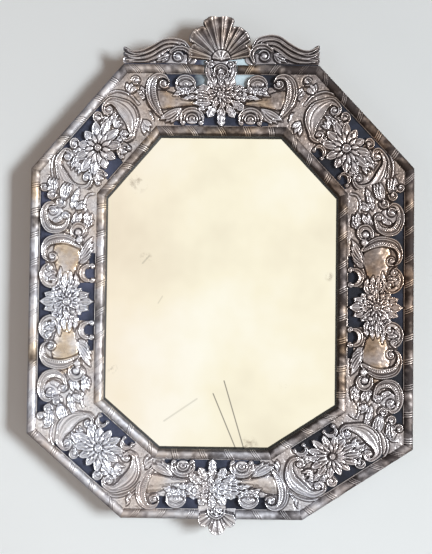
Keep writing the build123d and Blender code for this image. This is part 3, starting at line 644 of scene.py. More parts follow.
def large_scroll(field, breadth):
    """C-scroll that ends a diagonal panel: both ends hook round a ball."""
    spine = 79 - breadth
    field.scroll([(40, 21), (37.5, 29), (42, 36), (52, 38.5 - 0.25 * breadth), (spine - 7, 31),
                  (spine - 1, 17), (spine + 1, 3), (spine - 2, -9), (spine - 11, -20),
                  (49, -26), (39, -24), (35.5, -16)],
                 [1.3, 2.4, 3.4, 0.25 * breadth + 2.4, 0.62 * breadth, 0.95 * breadth, breadth,
                  0.88 * breadth, 0.60 * breadth, 4.0, 3.0, 1.6], 5.6)
    field.volute((46, 27), 8.4, 1.9, 6.0)
    field.volute((43, -16), 7.8, 4.4, 5.8, -1)


def diagonal_half(field, breadth, hooked):
    """Large scroll at one end, ribbed stalks and leaves before it, small scrolls at the edges."""
    # leaf tufts and strokes on the plain corner
    field.rib([(58, 45), (74, 36), (85, 18), (87, 0)], 1.3, 2.0)
    field.spray((78, -22), [(66, -38), (74, -41), (82, -38)], 3.4, 3.0)
    field.spray((86, 20), [(92, 34), (98, 28), (102, 18)], 3.4, 3.0)
    # ribbed stalks and leaf tufts between the flower and the scroll
    for k in range(4):
        field.rib([(20, 10 + 2.8 * k), (34, 11 + 3.2 * k), (52, 12 + 2.8 * k)], 1.5, 3.6)
    field.leaf([(20, -12), (34, -16), (44, -8)], 6.0, 4.2, 3)
    field.leaf([(22, 16), (31, 22), (40, 20)], 5.0, 4.2, 2)
    field.leaf([(24, 9), (38, 14), (54, 10)], 5.0, 4.4, 3)
    large_scroll(field, breadth)
    # knot of small leaves before the scroll
    for tip in (-4, 3, 10):
        field.leaf([(36, 2), (44, 2 + 0.7 * tip), (53 - 0.3 * breadth, 1 + tip)], 2.8, 4.4)
    # small scrolls at the edges
    field.curl((26, 31), 9.5, OUTWARD + 2.6, 3.0, -1, 4.8)
    if hooked:
        field.arch((27, -33), 11.5, OUTWARD, 3.2, 0, 4.0)
    else:
        field.arch((26, -31), 12, OUTWARD, 2.8, 1, 4.4)


def diagonal_panel(i):
    """Flower between two large C-scrolls, with small arches and curls at the edges."""
    side_name = SIDES[i]
    field = Field(i, NOMINAL_LENGTHS["diagonal"], *DIAGONAL_SETTING[side_name])
    hooked = side_name != "upper_left"
    field.pierce((-20, 17, 18, 48), (-62, 46, 34, 48), (-20, 15, -48, -22))
    if hooked:
        field.pierce((-37, 37, -48, -30))
    for field.mirror, breadth in zip((-1, 1), SCROLL_BREADTHS[side_name]):
        diagonal_half(field, breadth, hooked)
    petals, boss = FLOWERS[side_name]
    field.flower((-2, 1), petals, (42, 37), 0.15, boss)
    return field.close(i)


def side_half(field):
    """Polished belly under a roped arch, curls and scrolls beyond it, acanthus in the corner."""
    field.pierce((3, 24, 17, 48), (0, 172, 33, 48), (92, 108, 20, 48), (142, 162, 26, 48),
                 (9, 28, -48, -16), (34, 48, -48, -24), (0, 72, -48, -33))
    # belly and the leaves round it
    field.spray((58, -15), [(62, -31), (69, -36), (77, -38), (86, -38), (95, -37)], 4.4, 4.0)
    field.belly([(30, 2), (44, 1), (60, 1), (76, 1), (90, 0)], [8, 14, 19, 20, 17])
    field.leaf([(14, 10), (24, 18), (38, 19)], 5.0, 4.6, 3)
    field.leaf([(14, -8), (28, -14), (42, -13)], 5.0, 4.4, 3)
    field.leaf([(16, 6), (32, 11), (50, 9)], 4.6, 5.4, 4)
    field.leaf([(16, -3), (30, -6), (44, -5)], 4.6, 5.2, 3)
    field.leaf([(20, 1), (32, 3), (42, 2)], 4.0, 6.0)
    # arch with its roped edge
    field.scroll([(60, 28), (65, 34.5), (77, 35.5), (88, 29), (92.5, 16), (93, 4), (89, -8), (81, -20)],
                 [1.8, 3.2, 5.0, 7.0, 7.6, 7.2, 5.8, 3.4], 5.6, roped=True)
    field.curl((65, 23), 8.2, 2.2, 3.0, 1, 5.2)
    # pair of curls beside the arch
    field.scroll([(36, 14), (27, 15), (23, 23), (27, 32), (37, 37), (48, 35), (54, 29), (51, 24)],
                 [1.6, 3.2, 4.2, 4.6, 4.6, 4.2, 3.2, 1.8], 5.0)
    field.pad((39, 26), 9.5, 1.4)
    field.leaf([(39, 17), (40, 32)], 4.2, 3.6, 2)
    field.volute((32, 20), 7.0, 1.9, 5.4, -1)
    field.volute((49, 26), 5.8, 0.6, 5.2)
    field.arch((42, -34), 15.5, OUTWARD, 4.2, 0, 5.0)
    # leafy scroll inside the arch's foot
    field.spray((108, -26), [(121, -38), (130, -36), (135, -29)], 4.2, 3.8, 2)
    field.spray((110, -12), [(124, -7), (133, -12), (132, -21)], 4.2, 3.8, 2)
    field.curl((103, -17), 14.5, 2.5, 4.4, -1, 5.2)
    field.ball((91, -18), 5.6, 5.8)
    # scroll beyond the arch
    field.scroll([(128, -2), (118, 0), (110, 5), (106, 15), (108, 27),
                  (118, 34.5), (131, 36.5), (142, 32), (145, 24), (139, 17)],
                 [2.2, 3.2, 5.0, 6.4, 7.0, 6.4, 5.6, 4.6, 3.4, 1.8], 5.2, roped=True)
    field.pad((129, 19), 12, 1.3)
    field.leaf([(118, 23), (121, 13), (129, 9)], 4.0, 3.4, 2)
    field.volute((134, 23), 8.0, 1.2, 5.6, -1)
    field.volute((127, 4), 7.0, -1.6, 5.4)
    # corner acanthus: hooked lobes with fluted bodies
    for k in (-1, 0, 1):
        field.leaf([(184 + k, 22 + 5 * k), (172 + k, 24 + 4 * k), (158, 24 + 2 * k)], 3.8, 4.2, 0, 0.55)
    field.curl((158, 24), 8.5, 5.4, 2.8, -1, 4.8)
    for k in (-1, 0, 1):
        field.leaf([(176 + k, 0 + 5 * k), (164 + k, 4 + 4 * k), (150, 8 + 2 * k)], 3.8, 4.2, 0, 0.55)
    field.curl((147, 11), 8.5, 5.4, 2.8, -1, 4.8)
    field.curl((169, 35), 7.6, 5.4, 2.6, -1, 5.0)
    field.leaf([(137, -6), (150, -9), (168, -16)], 5.4, 4.0, 3)
    field.spray((136, -12), [(147, -14), (149, -22), (143, -26)], 3.4, 3.4)
    field.rib([(134, -26), (146, -24), (157, -29), (160, -38)], 1.2, 1.6)


def side_panel(i):
    """Rosette between two arches over polished bellies, with scrolls and corner leaves beyond."""
    field = Field(i, NOMINAL_LENGTHS["side"], SIDE_SHIFTS[SIDES[i]])
    for field.mirror in (-1, 1):
        side_half(field)
    for end in (-1, 1):
        tips = [(-20, 22 * end), (20, 22 * end), (-13, 34 * end), (13, 34 * end), (0, 41 * end)]
        field.spray((0, 8 * end), tips, 7.0, 4.4, 2)
    field.flower((0, 0), 11, (25, 24), 0.0, 5.4)
    for spot in ((16, -9), (-16, 9), (15, 10), (-15, -10)):
        field.ball(spot, 3.2, 6.0)
    return field.close(i)


def end_half(field):
    """Belly closed by a roped bracket, arches on both edges, strokes and leaves in the corner."""
    field.pierce((64, 84, 21, 48), (20, 38, 22, 48), (34, 88, 33, 48), (0, 28, -48, -22),
                 (20, 70, -48, -35))
    # strokes, leaves and small scrolls on the plain corner
    for gap in (0.0, 5.0):
        field.rib([(146 - gap, 24), (130 - gap, 2), (123 - gap, -20), (124 - gap, -42)], 1.3, 2.0)
    field.curl((126, 31), 8.5, OUTWARD + 2.2, 2.8, 1, 4.2)
    field.spray((112, 2), [(119, 22), (127, 14), (131, 3)], 4.2, 3.6, 2)
    field.spray((104, -20), [(119, -30), (112, -38), (103, -40)], 4.2, 3.6, 2)
    # belly like a horn, narrowing to the rosette
    field.belly([(38, -6), (52, -5), (68, -3), (82, -1), (96, 0)], [3, 6, 10, 14, 15])
    # bracket with its roped edge
    field.scroll([(78, 30), (83, 37.5), (93, 38.5), (101, 31), (104, 18),
                  (103, 5), (99, -8), (93, -19), (87, -28)],
                 [1.8, 3.4, 5.4, 7.6, 8.4, 8.2, 7.0, 5.4, 3], 5.6, roped=True)
    field.curl((84, 26), 8.8, 2.6, 3.2, 1, 5.4)
    # arches on both edges, with leaf sprays behind them
    field.spray((58, -13), [(66, -35), (74, -38), (82, -37), (90, -33)], 5.0, 4.0)
    for k in range(4):
        field.leaf([(34 + 6 * k, 14 - k), (42 + 7 * k, 17 - 2 * k), (50 + 7 * k, 12 - 2 * k)],
                   4.4, 4.2, 2)
    field.leaf([(30, 3), (44, 4), (58, 1)], 4.2, 4.4, 3)
    field.spray((53, 25), [(41, 10), (49, 6), (58, 6), (66, 11)], 4.6, 4.6, 2)
    field.arch((53, 24), 17.0, OUTWARD, 3.2, 4, 4.4)
    field.arch((43, -32), 20, OUTWARD, 3.4, 3, 5.0)


def end_panel(i):
    """Rosette between bellies closed by two large brackets, with arches along both edges."""
    field = Field(i, NOMINAL_LENGTHS[SIDES[i]])
    for field.mirror in (-1, 1):
        end_half(field)
    for k in range(12):
        angle = 2 * math.pi * k / 12
        field.leaf([polar((0, 6), angle, 14, 12), polar((0, 3), angle, 39, 37)], 7.4, 4.2, 3, 0.6)
    field.leaf([(0, -16), (0, -44)], 7.0, 4.2, 3, 0.6)
    field.flower((27, 10), 7, (12, 11), 0.3, 3.2, False)
    for k in range(3):
        field.leaf([(-16, 8 - 7 * k), (-30, 13 - 9 * k), (-42, 11 - 9 * k)], 5.4, 5.0, 2)
    field.flower((-1, 8), 9, (24, 22), 0.4, 5.8)
    if SIDES[i] == "top":
        # beaten flat where the crest's stem lies on it
        field.height *= 1 - smooth(inside_polygon(field.X, field.Z, stem_outline(-1.0)))
    return field.close(i)


def stem_outline(inset):
    half = STEM_HALF_WIDTH - inset
    return [(CREST_MIDDLE - half, HINGE_Z), (CREST_MIDDLE - 0.45 * half, STEM_FOOT + inset),
            (CREST_MIDDLE + 0.45 * half, STEM_FOOT + inset), (CREST_MIDDLE + half, HINGE_Z)]


def panel(i):
    if SIDES[i] in DIAGONAL_SETTING:
        return diagonal_panel(i)
    return side_panel(i) if SIDES[i] in SIDE_SHIFTS else end_panel(i)


# ---- mouldings ----

BAND_PITCH = 39.0
BAND_LINES = (-4.0, -0.8, 2.4)
BAND_SLANT = 0.55
LINE_RIDGE, LINE_GROOVE = 0.75, 0.65
LINE_HALF, GROOVE_OFFSET = 1.1, 1.6
ARCH_POINTS = 13
SECTION_STEP = 0.6
FOLD_TONE = 0.3


def chased_lines(length, twist, seed):
    """Slanting lines in threes, raised with a groove beside each, at uneven places along a length."""
    random = np.random.default_rng(seed)
    centres = np.arange(BAND_PITCH * random.uniform(0.3, 0.7), length - 6, BAND_PITCH)
    lines = np.zeros_like(twist)
    for centre in centres + random.uniform(-3, 3, len(centres)):
        for step in BAND_LINES:
            lines += LINE_RIDGE * bump(twist, centre + step, LINE_HALF)
            lines -= LINE_GROOVE * bump(twist, centre + step + GROOVE_OFFSET, LINE_HALF)
    return lines


def moulding(name, outer, inner, fold, seed):
    """Half-round moulding between two pairs of end points, with slanting chased lines in threes.

    outer and inner are the (start, end) of its two edges; fold is how far its outer edge
    turns back over the wood. One without a fold lies beside the glass, where its lip is painted black as
    shade.
    """
    outer, inner = np.array(outer), np.array(inner)
    length = math.hypot(*(outer[1] - outer[0]))
    away = (outer[1] - outer[0]) / length
    outward = np.array([-away[1], away[0]])
    if (inner[0] - outer[0]) @ outward > 0:
        outward = -outward
    t = np.linspace(0, 1, max(4, int(length / SECTION_STEP)) + 1)[:, None]
    angle = np.linspace(0, math.pi, ARCH_POINTS)[None, :]
    share = 0.5 - 0.5 * np.cos(angle)
    lines = chased_lines(length, t * length - BAND_SLANT * (share - 0.5) * MOULDING_WIDTH, seed)
    along, round_it = t * length + 0 * share, MOULDING_WIDTH * share + 0 * t
    dent = 0.26 * mottle(along, round_it + 40.0 * seed, 6.0, seed)
    dent += 0.24 * mottle(along, 0.5 * round_it + 40.0 * seed, 26.0, seed + 5)
    lift = (lines + dent - 0.25) * np.sin(angle) ** 0.6
    near, far = (outer[k] + (inner[k] - outer[k]) * share[..., None] for k in (0, 1))
    place = near + (far - near) * t[..., None] + outward * (lift * np.cos(angle))[..., None]
    depth = CARCASS_FRONT + (MOULDING_RISE + lift) * np.sin(angle)
    sections = np.stack([place[..., 0], depth, place[..., 1]], 2)
    wear_and_shade = 0.34 + 0.9 * lines + 0.9 * dent
    # Painted shade: the lip beside the glass is darkened nearly to black.
    if not fold:
        wear_and_shade -= 0.5 * smooth((share - 0.74) / 0.18)
    warm = 0.5 + 0.5 * mottle(along, round_it + 40.0 * seed, 60.0, seed + 9)
    tone = np.clip(np.stack([wear_and_shade, warm], 2), 0, 1)
    if fold:
        line = outer[0] + (outer[1] - outer[0]) * t
        folded = line - outward * EDGING
        back = np.full((len(t), 1), CARCASS_FRONT - fold)
        extra = [np.hstack([at[:, :1], deep, at[:, 1:]])[:, None]
                 for at, deep in ((folded, back + fold), (folded, back), (line, back))]
        sections = np.concatenate([sections, *extra], 1)
        tone = np.concatenate([tone, np.full((len(t), 3, 2), FOLD_TONE)], 1)
    return skin(name, sections, tone)


def moulding_lengths():
    """Name, outer and inner edge, fold and seed of each length; gaps let crest and drop leaf pass."""
    gaps = {"top": (CREST_MIDDLE, STEM_HALF_WIDTH), "bottom": (DROP_MIDDLE, DROP_HALF_WIDTH)}
    kinds = [("outer", from_outside(0), from_outside(MOULDING_WIDTH), EDGING_FOLD, 30),
             ("inner", from_opening(MOULDING_WIDTH), from_opening(0), 0.0, 60)]
    for kind, *lines, fold, seed in kinds:
        for i, side in enumerate(SIDES):
            name = f"{kind}_moulding_{side}"
            edges = [(line[i], line[(i + 1) % 8]) for line in lines]
            if kind == "inner" or side not in gaps:
                yield name, *edges, fold, seed + 3 * i
                continue
            middle, half = gaps[side]
            for hand, toward in (("left", -1), ("right", 1)):
                corner = int((toward < 0) != (side == "top"))
                cut = [(edge[corner], (middle + toward * half, edge[corner][1])) for edge in edges]
                yield f"{name}_{hand}", *cut, fold, seed + 3 * i + corner


# ---- crest and drop leaf ----

# Lobes: first and last angle in degrees, reach, flutes. The shell's go from the right over the top
# to the left and are laid in an order that leaves the middle one on top.
SHELL_LOBES = [(6, 34, 46.5, 2), (34, 72, 57.5, 3), (72, 116, 69.0, 3), (116, 149, 61.0, 2),
               (149, 177, 51.0, 2)]
SHELL_ORDER = (0, 4, 1, 3, 2)
SHELL_TOP = 403.8
LEAF_FACE = CARCASS_FRONT + 0.4
DROP_LOBES = [(-172, -122, 33.0, 3), (-62, -10, 32.0, 3), (-121, -61, 34.5, 3)]
CREST_LEAF_HEIGHTS = {"left": 38.0, "right": 44.0}
CREST_RIBS = [[(0.05, 0.60), (0.13, 0.84), (0.28, 0.92), (0.42, 0.87),
               (0.56, 0.65), (0.72, 0.46), (0.86, 0.44), (0.98, 0.60)],
              [(0.10, 0.56), (0.19, 0.72), (0.32, 0.77), (0.44, 0.68),
               (0.58, 0.44), (0.74, 0.29), (0.88, 0.28), (0.97, 0.40)],
              [(0.17, 0.56), (0.26, 0.64), (0.36, 0.60), (0.46, 0.46),
               (0.57, 0.26), (0.72, 0.14), (0.96, 0.14)]]
# How much darker the shell's top and the crest and drop leaves are made
SHELL_DARKENING, CREST_LEAF_DARKENING, DROP_LEAF_DARKENING = 1.15, 0.55, 0.50
SHELL_SEED, CREST_LEAF_SEED, DROP_LEAF_SEED = 91, 95, 99


def crest_shell():
    """Scallop shell over a stem leaf that crosses the top moulding."""
    cx, hinge = CREST_MIDDLE, (CREST_MIDDLE, HINGE_Z)
    relief = Relief((cx - 56, STEM_FOOT - 2), (cx + 56, SHELL_TOP + 2))
    X, Z = relief.X, relief.Z
    for k in SHELL_ORDER:
        relief.fan(hinge, *SHELL_LOBES[k], 1.6)
    distance = np.hypot(X - cx, Z - HINGE_Z)
    # Darker towards the top of the shell.
    relief.grime_and_darkening += SHELL_DARKENING * smooth(distance / 60.0) * smooth((Z - HINGE_Z) / 10.0)
    # stem: side leaves, a scale between them and a leaf down to the rosette
    relief.lay(EVERYWHERE, inside_polygon(X, Z, stem_outline(0.5)), 2.4)
    for side in (-1, 1):
        relief.leaf([(cx + 19 * side, HINGE_Z - 3), (cx + 17 * side, HINGE_Z - 20),
                     (cx + 9 * side, STEM_FOOT + 2)], 5.6, 6.0)
        relief.leaf([(cx + 4 * side, HINGE_Z - 16), (cx + 9 * side, HINGE_Z - 24),
                     (cx + 8 * side, STEM_FOOT + 3)], 4.2, 5.4, 2)
    relief.arch((cx, HINGE_Z - 18), 12.5, OUTWARD, 2.6, 1, 3.6, 5.8)
    relief.leaf([(cx, HINGE_Z - 12), (cx, STEM_FOOT + 1)], 5.6, 6.2, 3)
    for side in (1, -1):
        relief.volute((cx + 14 * side, HINGE_Z - 6), 6.2, 1.6 + 0.3 * side, 6.4, -side)
    # small shell at the hinge
    relief.fan(hinge, 12, 168, 15.0, 5, 5.6)
    relief.hammer(SHELL_SEED)
    relief.keep_within(SHELL_TOP - Z)
    floor = np.where(Z > HALF_HEIGHT - 12, CARCASS_FRONT, SHEET_FRONT + 0.1)
    return relief.mesh("tin_crest_shell", LEAF_FACE, floor)


def crest_leaf(hand):
    """Scroll leaf beside the shell: a curl by the shell and ribs that sweep out to the tip."""
    side = -1 if hand == "left" else 1
    height = CREST_LEAF_HEIGHTS[hand]
    near = side * CREST_MIDDLE + STEM_HALF_WIDTH + 17.0
    far = abs(octagon()[0 if side < 0 else 1][0])
    left, right = sorted((side * (near - 6), side * (far + 1)))
    relief = Relief((left, HALF_HEIGHT - 1), (right, HALF_HEIGHT + height + 2))
    relief.scale = height / 40.0
    relief.at = lambda run, rise: (side * (near + (far - near) * run), HALF_HEIGHT + height * rise)
    relief.strip([(0.02, 0.20), (0.35, 0.24), (0.7, 0.18), (0.97, 0.16)], [8.0, 8.0, 6.0, 5.0], 1.4)
    relief.strip(CREST_RIBS[0], [3.4] * 3, 1.6)
    relief.strip(CREST_RIBS[1], [4.0] * 3, 1.6)
    relief.spray((0.34, 0.40), [(0.44, 0.06), (0.52, 0.10), (0.56, 0.22)], 3.4, 5.2)
    for rib, rise in zip(reversed(CREST_RIBS), (5.8, 6.6, 7.2)):
        relief.scroll(rib, [2.4, 3.6, 4.2, 4.2, 3.8, 3.2, 1.8], rise)
    relief.scroll([(0.06, 0.10), (0.03, 0.36), (0.10, 0.58), (0.22, 0.62), (0.32, 0.48)],
                  [2.0, 3.4, 3.6, 3.4, 2.4], 6.4)
    relief.volute((0.21, 0.29), 9.8, 2.4, 7.0, -1)
    relief.hammer(CREST_LEAF_SEED + side)
    # Darker all over.
    relief.grime_and_darkening += CREST_LEAF_DARKENING
    relief.keep_within(relief.Z - HALF_HEIGHT, far - side * relief.X)
    return relief.mesh(f"tin_crest_leaf_{hand}", CARCASS_FRONT + 0.2, CARCASS_FRONT)


def drop_leaf():
    """Three-lobed acanthus leaf that crosses the bottom moulding."""
    cx, edge = DROP_MIDDLE, -HALF_HEIGHT
    relief = Relief((cx - 30, edge - 26), (cx + 30, edge + 20))
    X, Z = relief.X, relief.Z
    plate = [(cx - 28, edge + 17), (cx + 28, edge + 17), (cx + 28, edge - 1), (cx - 28, edge - 1)]
    relief.lay(EVERYWHERE, inside_polygon(X, Z, plate), 1.5)
    for lobe in DROP_LOBES:
        relief.fan((cx, edge + 12), *lobe, 2.4, 0.70)
    relief.scroll([(cx - 14, edge + 17), (cx - 11, edge + 8), (cx - 1, edge + 3), (cx + 8, edge + 8),
                   (cx + 11, edge + 17)], [1.8, 2.6, 2.8, 2.6, 1.8], 7.0)
    tips = [(cx - 8, edge + 9), (cx - 1, edge + 5), (cx + 6, edge + 9)]
    relief.spray((cx - 1, edge + 22), tips, 3.8, 6.8)
    relief.hammer(DROP_LEAF_SEED)
    # Darker all over.
    relief.grime_and_darkening += DROP_LEAF_DARKENING
    half = DROP_HALF_WIDTH + 0.3
    relief.keep_within(cx + half - X, X - cx + half, edge + 16 - Z, Z - edge + 22.7)
    return relief.mesh("tin_drop_leaf", LEAF_FACE, CARCASS_FRONT)


# ---- velvet and ring ----

VELVET_STEPS, VELVET_ROWS = 40, 20
RING_POINTS, WIRE_POINTS = 72, 16
# Thickness of the forged wire as a share of the CAD wire's
WIRE_SHARE = 0.97


def velvet_sheet():
    """Velvet stretched over the front of the carcass, with the wood's slight unevenness."""
    outside, inside = from_outside(MOULDING_WIDTH), from_opening(MOULDING_WIDTH)
    sections = []
    for i in range(8):
        for k in range(VELVET_STEPS):
            start, end = (blend(line[i], line[(i + 1) % 8], k / VELVET_STEPS) for line in (outside, inside))
            x, z = blend(start, end, np.arange(VELVET_ROWS + 1) / VELVET_ROWS)
            pile = 0.12 * mottle(x, z, 6.0, 5) - 0.12
            front = np.stack([x, VELVET_FRONT + pile, z], 1)
            back = np.stack([x, np.full_like(x, CARCASS_FRONT), z], 1)
            sections.append(np.vstack([front, back[::-1]]))
    return skin("velvet", np.array(sections), closed=True)


def round_ring():
    """Forged ring of round wire."""
    low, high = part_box("hanging_ring")
    x, y, z = (low + high) / 2 / MM
    wire = (high.y - low.y) / 2 / MM
    major = (high.x - low.x) / 2 / MM - wire
    a = np.arange(RING_POINTS)[:, None] * 2 * math.pi / RING_POINTS
    b = np.arange(WIRE_POINTS)[None, :] * 2 * math.pi / WIRE_POINTS
    reach = major + WIRE_SHARE * wire * np.cos(b)
    depth = -y - WIRE_SHARE * wire * np.sin(b) + 0 * a
    sections = np.stack([x + reach * np.sin(a), depth, z + reach * np.cos(a)], 2)
    return skin("ring_wire", sections, closed=True)


# ---- materials ----

# Tin from the hollows to the most worn ridges; the mouldings' ridges are duller
TIN_STOPS = [(0.06, (0.068, 0.062, 0.068)), (0.32, (0.22, 0.21, 0.225)), (0.54, (0.43, 0.425, 0.46)),
             (0.76, (0.65, 0.66, 0.71)), (0.98, (0.83, 0.84, 0.89))]
ROLLED_STOPS = TIN_STOPS[:-1] + [(0.98, (0.62, 0.60, 0.62))]
BROWN_STAIN, GOLD_CAST = (0.84, 0.65, 0.50), (0.94, 0.76, 0.54)
VELVET_STOPS = [(0.26, (0.008, 0.009, 0.015)), (0.50, (0.024, 0.031, 0.056)),
                (0.80, (0.085, 0.098, 0.165))]
# Paler patch of velvet round the crest's stem: its middle in metres, the reaches between which it fades
# out, and its blue
PALE_PATCH_AT, PALE_PATCH_REACH, PALE_PATCH_BLUE = (0.006, 0.0, 0.330), (0.036, 0.058), (0.60, 0.75, 0.84)
# Painted reflection of a cream room in the silvering: the warm, cloudy ramp and the tint that warms the
# left
SILVER_AND_REFLECTION_STOPS = [(0.34, (0.84, 0.77, 0.60)), (0.50, (0.96, 0.90, 0.71)), (0.64, (1.0, 0.97, 0.84))]
LEFT_REFLECTION_TINT, FOX_BROWN, SCRATCH_GREY = (0.975, 0.935, 0.94), (0.30, 0.24, 0.18), (0.16, 0.15, 0.13)
# Scratches in the silvering: start and end (x, z) in millimetres, half-width, depth of tone
SCRATCHES = [((6, -134), (36, -233), 0.8, 0.85), ((-10, -153), (24, -233), 0.8, 0.85),
             ((-34, -161), (-82, -194), 1.2, 0.25), ((-117, 39), (-108, 49), 1.2, 0.28),
             ((-93, -20), (-87, -10), 1.0, 0.20)]
# Foxed patches in the silvering: (x, z) of the middle and reach, in millimetres
FOXED = [((-126, 158), 17), ((-112, 45), 12), ((93, -140), 7),
         ((44, -229), 16), ((-160, -118), 9), ((160, 22), 8)]
# Light and dark of each wood, and its grain's two streaks
PINE, KEY_PINE = ((0.50, 0.33, 0.18), (0.30, 0.18, 0.09)), ((0.44, 0.28, 0.15), (0.28, 0.16, 0.08))
OLD_PINE, STREAK = ((0.36, 0.23, 0.12), (0.21, 0.12, 0.06)), (0.20, 0.12, 0.06)
GRAIN_STRETCH, FINE_STRETCH = (16.0, 1.0, 1.0), (30.0, 1.0, 1.0)
GRAIN_BUMP = 0.0004


class Nodes:
    """Small builder for a node tree."""

    def __init__(self, tree):
        self.tree = tree
        tree.nodes.clear()

    def feed(self, socket, value):
        """Link a socket to another or set it to a constant; colours are given without alpha."""
        if isinstance(value, bpy.types.NodeSocket):
            self.tree.links.new(value, socket)
        else:
            socket.default_value = (*value, 1.0) if socket.type == "RGBA" else value

    def node(self, kind, feeds=None, **settings):
        """New node with its settings, and what its inputs are fed, by name or number."""
        made = self.tree.nodes.new(kind)
        for key, value in settings.items():
            setattr(made, key, value)
        for key, value in (feeds or {}).items():
            self.feed(made.inputs[key], value)
        return made

    def ramp(self, source, stops):
        made = self.node("ShaderNodeValToRGB", {0: source})
        elements = made.color_ramp.elements
        while len(elements) < len(stops):
            elements.new(0.5)
        for element, (place, colour) in zip(elements, stops):
            element.position = place
            element.color = (*colour, 1.0)
        return made.outputs["Color"]

    def grey(self, source, low, high, floor=0.0, ceiling=1.0):
        """Map source from low..high to floor..ceiling."""
        feeds = {"Value": source, "From Min": low, "From Max": high, "To Min": floor, "To Max": ceiling}
        return self.node("ShaderNodeMapRange", feeds).outputs[0]

    def math(self, operation, a, b):
        return self.node("ShaderNodeMath", {0: a, 1: b}, operation=operation).outputs[0]

    def vector(self, operation, a, b, output="Vector"):
        return self.node("ShaderNodeVectorMath", {0: a, 1: b}, operation=operation).outputs[output]

    def mix(self, share, a, b, blend_type="MIX"):
        feeds = {0: share, 6: a, 7: b}
        return self.node("ShaderNodeMix", feeds, data_type="RGBA", blend_type=blend_type).outputs[2]

    def choose(self, share, a, b):
        """Shader a, or b where share is 1."""
        return self.node("ShaderNodeMixShader", {0: share, 1: a, 2: b}).outputs[0]


class Shade(Nodes):
    """Builder for a material round one principled shader."""

    def __init__(self, name):
        self.material = bpy.data.materials.new(name)
        self.material.use_nodes = True
        super().__init__(self.material.node_tree)
        self.shader = self.node("ShaderNodeBsdfPrincipled")
        self.output = self.node("ShaderNodeOutputMaterial", {"Surface": self.shader.outputs[0]})
        self.where = self.node("ShaderNodeTexCoord").outputs["Object"]

    def set(self, **sockets):
        for key, value in sockets.items():
            self.feed(self.shader.inputs[key.replace("_", " ")], value)
        return self.material

    def place(self, axis):
        return self.node("ShaderNodeSeparateXYZ", {0: self.where}).outputs[axis]

    def field(self, name):
        return self.node("ShaderNodeAttribute", attribute_name=name).outputs["Fac"]

    def noise(self, scale, detail=4.0, rough=0.6, stretch=None, turn=(0.0, 0.0, 0.0)):
        source = self.where
        if stretch:
            feeds = {"Vector": source, "Scale": stretch, "Rotation": turn}
            source = self.node("ShaderNodeMapping", feeds, vector_type="TEXTURE").outputs[0]
        feeds = {"Vector": source, "Scale": scale, "Detail": detail, "Roughness": rough}
        return self.node("ShaderNodeTexNoise", feeds).outputs["Fac"]

    def from_spot(self, spot):
        """Where the surface lies from an (x, z) spot in millimetres, flattened to the mirror's plane."""
        flat = self.vector("MULTIPLY", self.where, (1.0, 0.0, 1.0))
        return self.vector("SUBTRACT", flat, (spot[0] * MM, 0.0, spot[1] * MM))

    def scratch(self, start, end, half):
        """1 on a straight line between two (x, z) spots in millimetres, 0 off it."""
        run = Vector((end[0] - start[0], 0.0, end[1] - start[1])) * MM
        offset = self.from_spot(start)
        share = self.vector("DOT_PRODUCT", offset, tuple(run / run.length_squared), "Value")
        share = self.grey(share, 0.0, 1.0)
        along = self.node("ShaderNodeVectorMath", {0: tuple(run), "Scale": share}, operation="SCALE")
        distance = self.vector("DISTANCE", offset, along.outputs["Vector"], "Value")
        return self.grey(distance, 1.6 * half * MM, 0.4 * half * MM)

    def blot(self, centre, reach):
        """1 near an (x, z) spot in millimetres, falling to 0 at the reach."""
        distance = self.vector("DISTANCE", self.from_spot(centre), (0.0, 0.0, 0.0), "Value")
        return self.grey(distance, reach * MM, 0.3 * reach * MM)

    def bump(self, source, strength, distance=GRAIN_BUMP):
        feeds = {"Height": source, "Strength": strength, "Distance": distance}
        self.set(Normal=self.node("ShaderNodeBump", feeds).outputs[0])


def tin_material(name, stops, gain=1.0, dull=0.0):
    """Aged tin: worn bright on the relief, brown tarnish in the hollows and in cloudy patches.

    Plain swellings and ground are golden. Painted light makes the right and the top of the mirror
    darker than the left and the bottom; the right and the top are also browner than the left and the
    bottom. gain deepens the patches and the painted light from left to right, and dull takes the shine off.
    """
    shade = Shade(name)
    right, up = shade.place("X"), shade.place("Z")
    grain = shade.noise(420.0, 3.0)
    level = shade.field("wear_and_shade")
    # The last two changes are painted light: brighter on the left and low down, darker on the right and at
    # the top.
    for change in (shade.grey(shade.noise(26.0, 5.0), 0.25, 0.75, -0.16 * gain, 0.16 * gain),
                   shade.grey(grain, 0.3, 0.7, -0.06, 0.06),
                   shade.grey(right, -0.22, 0.26, 0.16 * gain, -0.18 * gain),
                   shade.grey(up, -0.30, 0.36, 0.20, -0.06)):
        level = shade.math("ADD", level, change)
    above_foot = shade.grey(up, -0.26, -0.10, 0.1, 1.0)
    stain = shade.grey(shade.noise(12.0), 0.45, 0.66, -0.05, 0.44)
    brown = shade.math("MULTIPLY", above_foot, shade.grey(right, -0.16, 0.26, 0.0, 0.56))
    cloud = shade.grey(shade.noise(34.0, 3.0, 0.5), 0.38, 0.60, 0.40, 1.15)
    gold = shade.math("MULTIPLY", shade.field("warm"), cloud)
    gold = shade.math("MULTIPLY", gold, shade.grey(above_foot, 0.0, 1.0, 0.35, 1.0))
    colour = shade.mix(shade.math("ADD", stain, brown), shade.ramp(level, stops), BROWN_STAIN, "MULTIPLY")
    colour = shade.mix(gold, colour, GOLD_CAST, "MULTIPLY")
    shade.bump(grain, 0.25)
    rough = shade.grey(level, 0.15, 0.85, 0.50 + dull, 0.22 + dull)
    return shade.set(Base_Color=colour, Roughness=rough, Metallic=0.94)


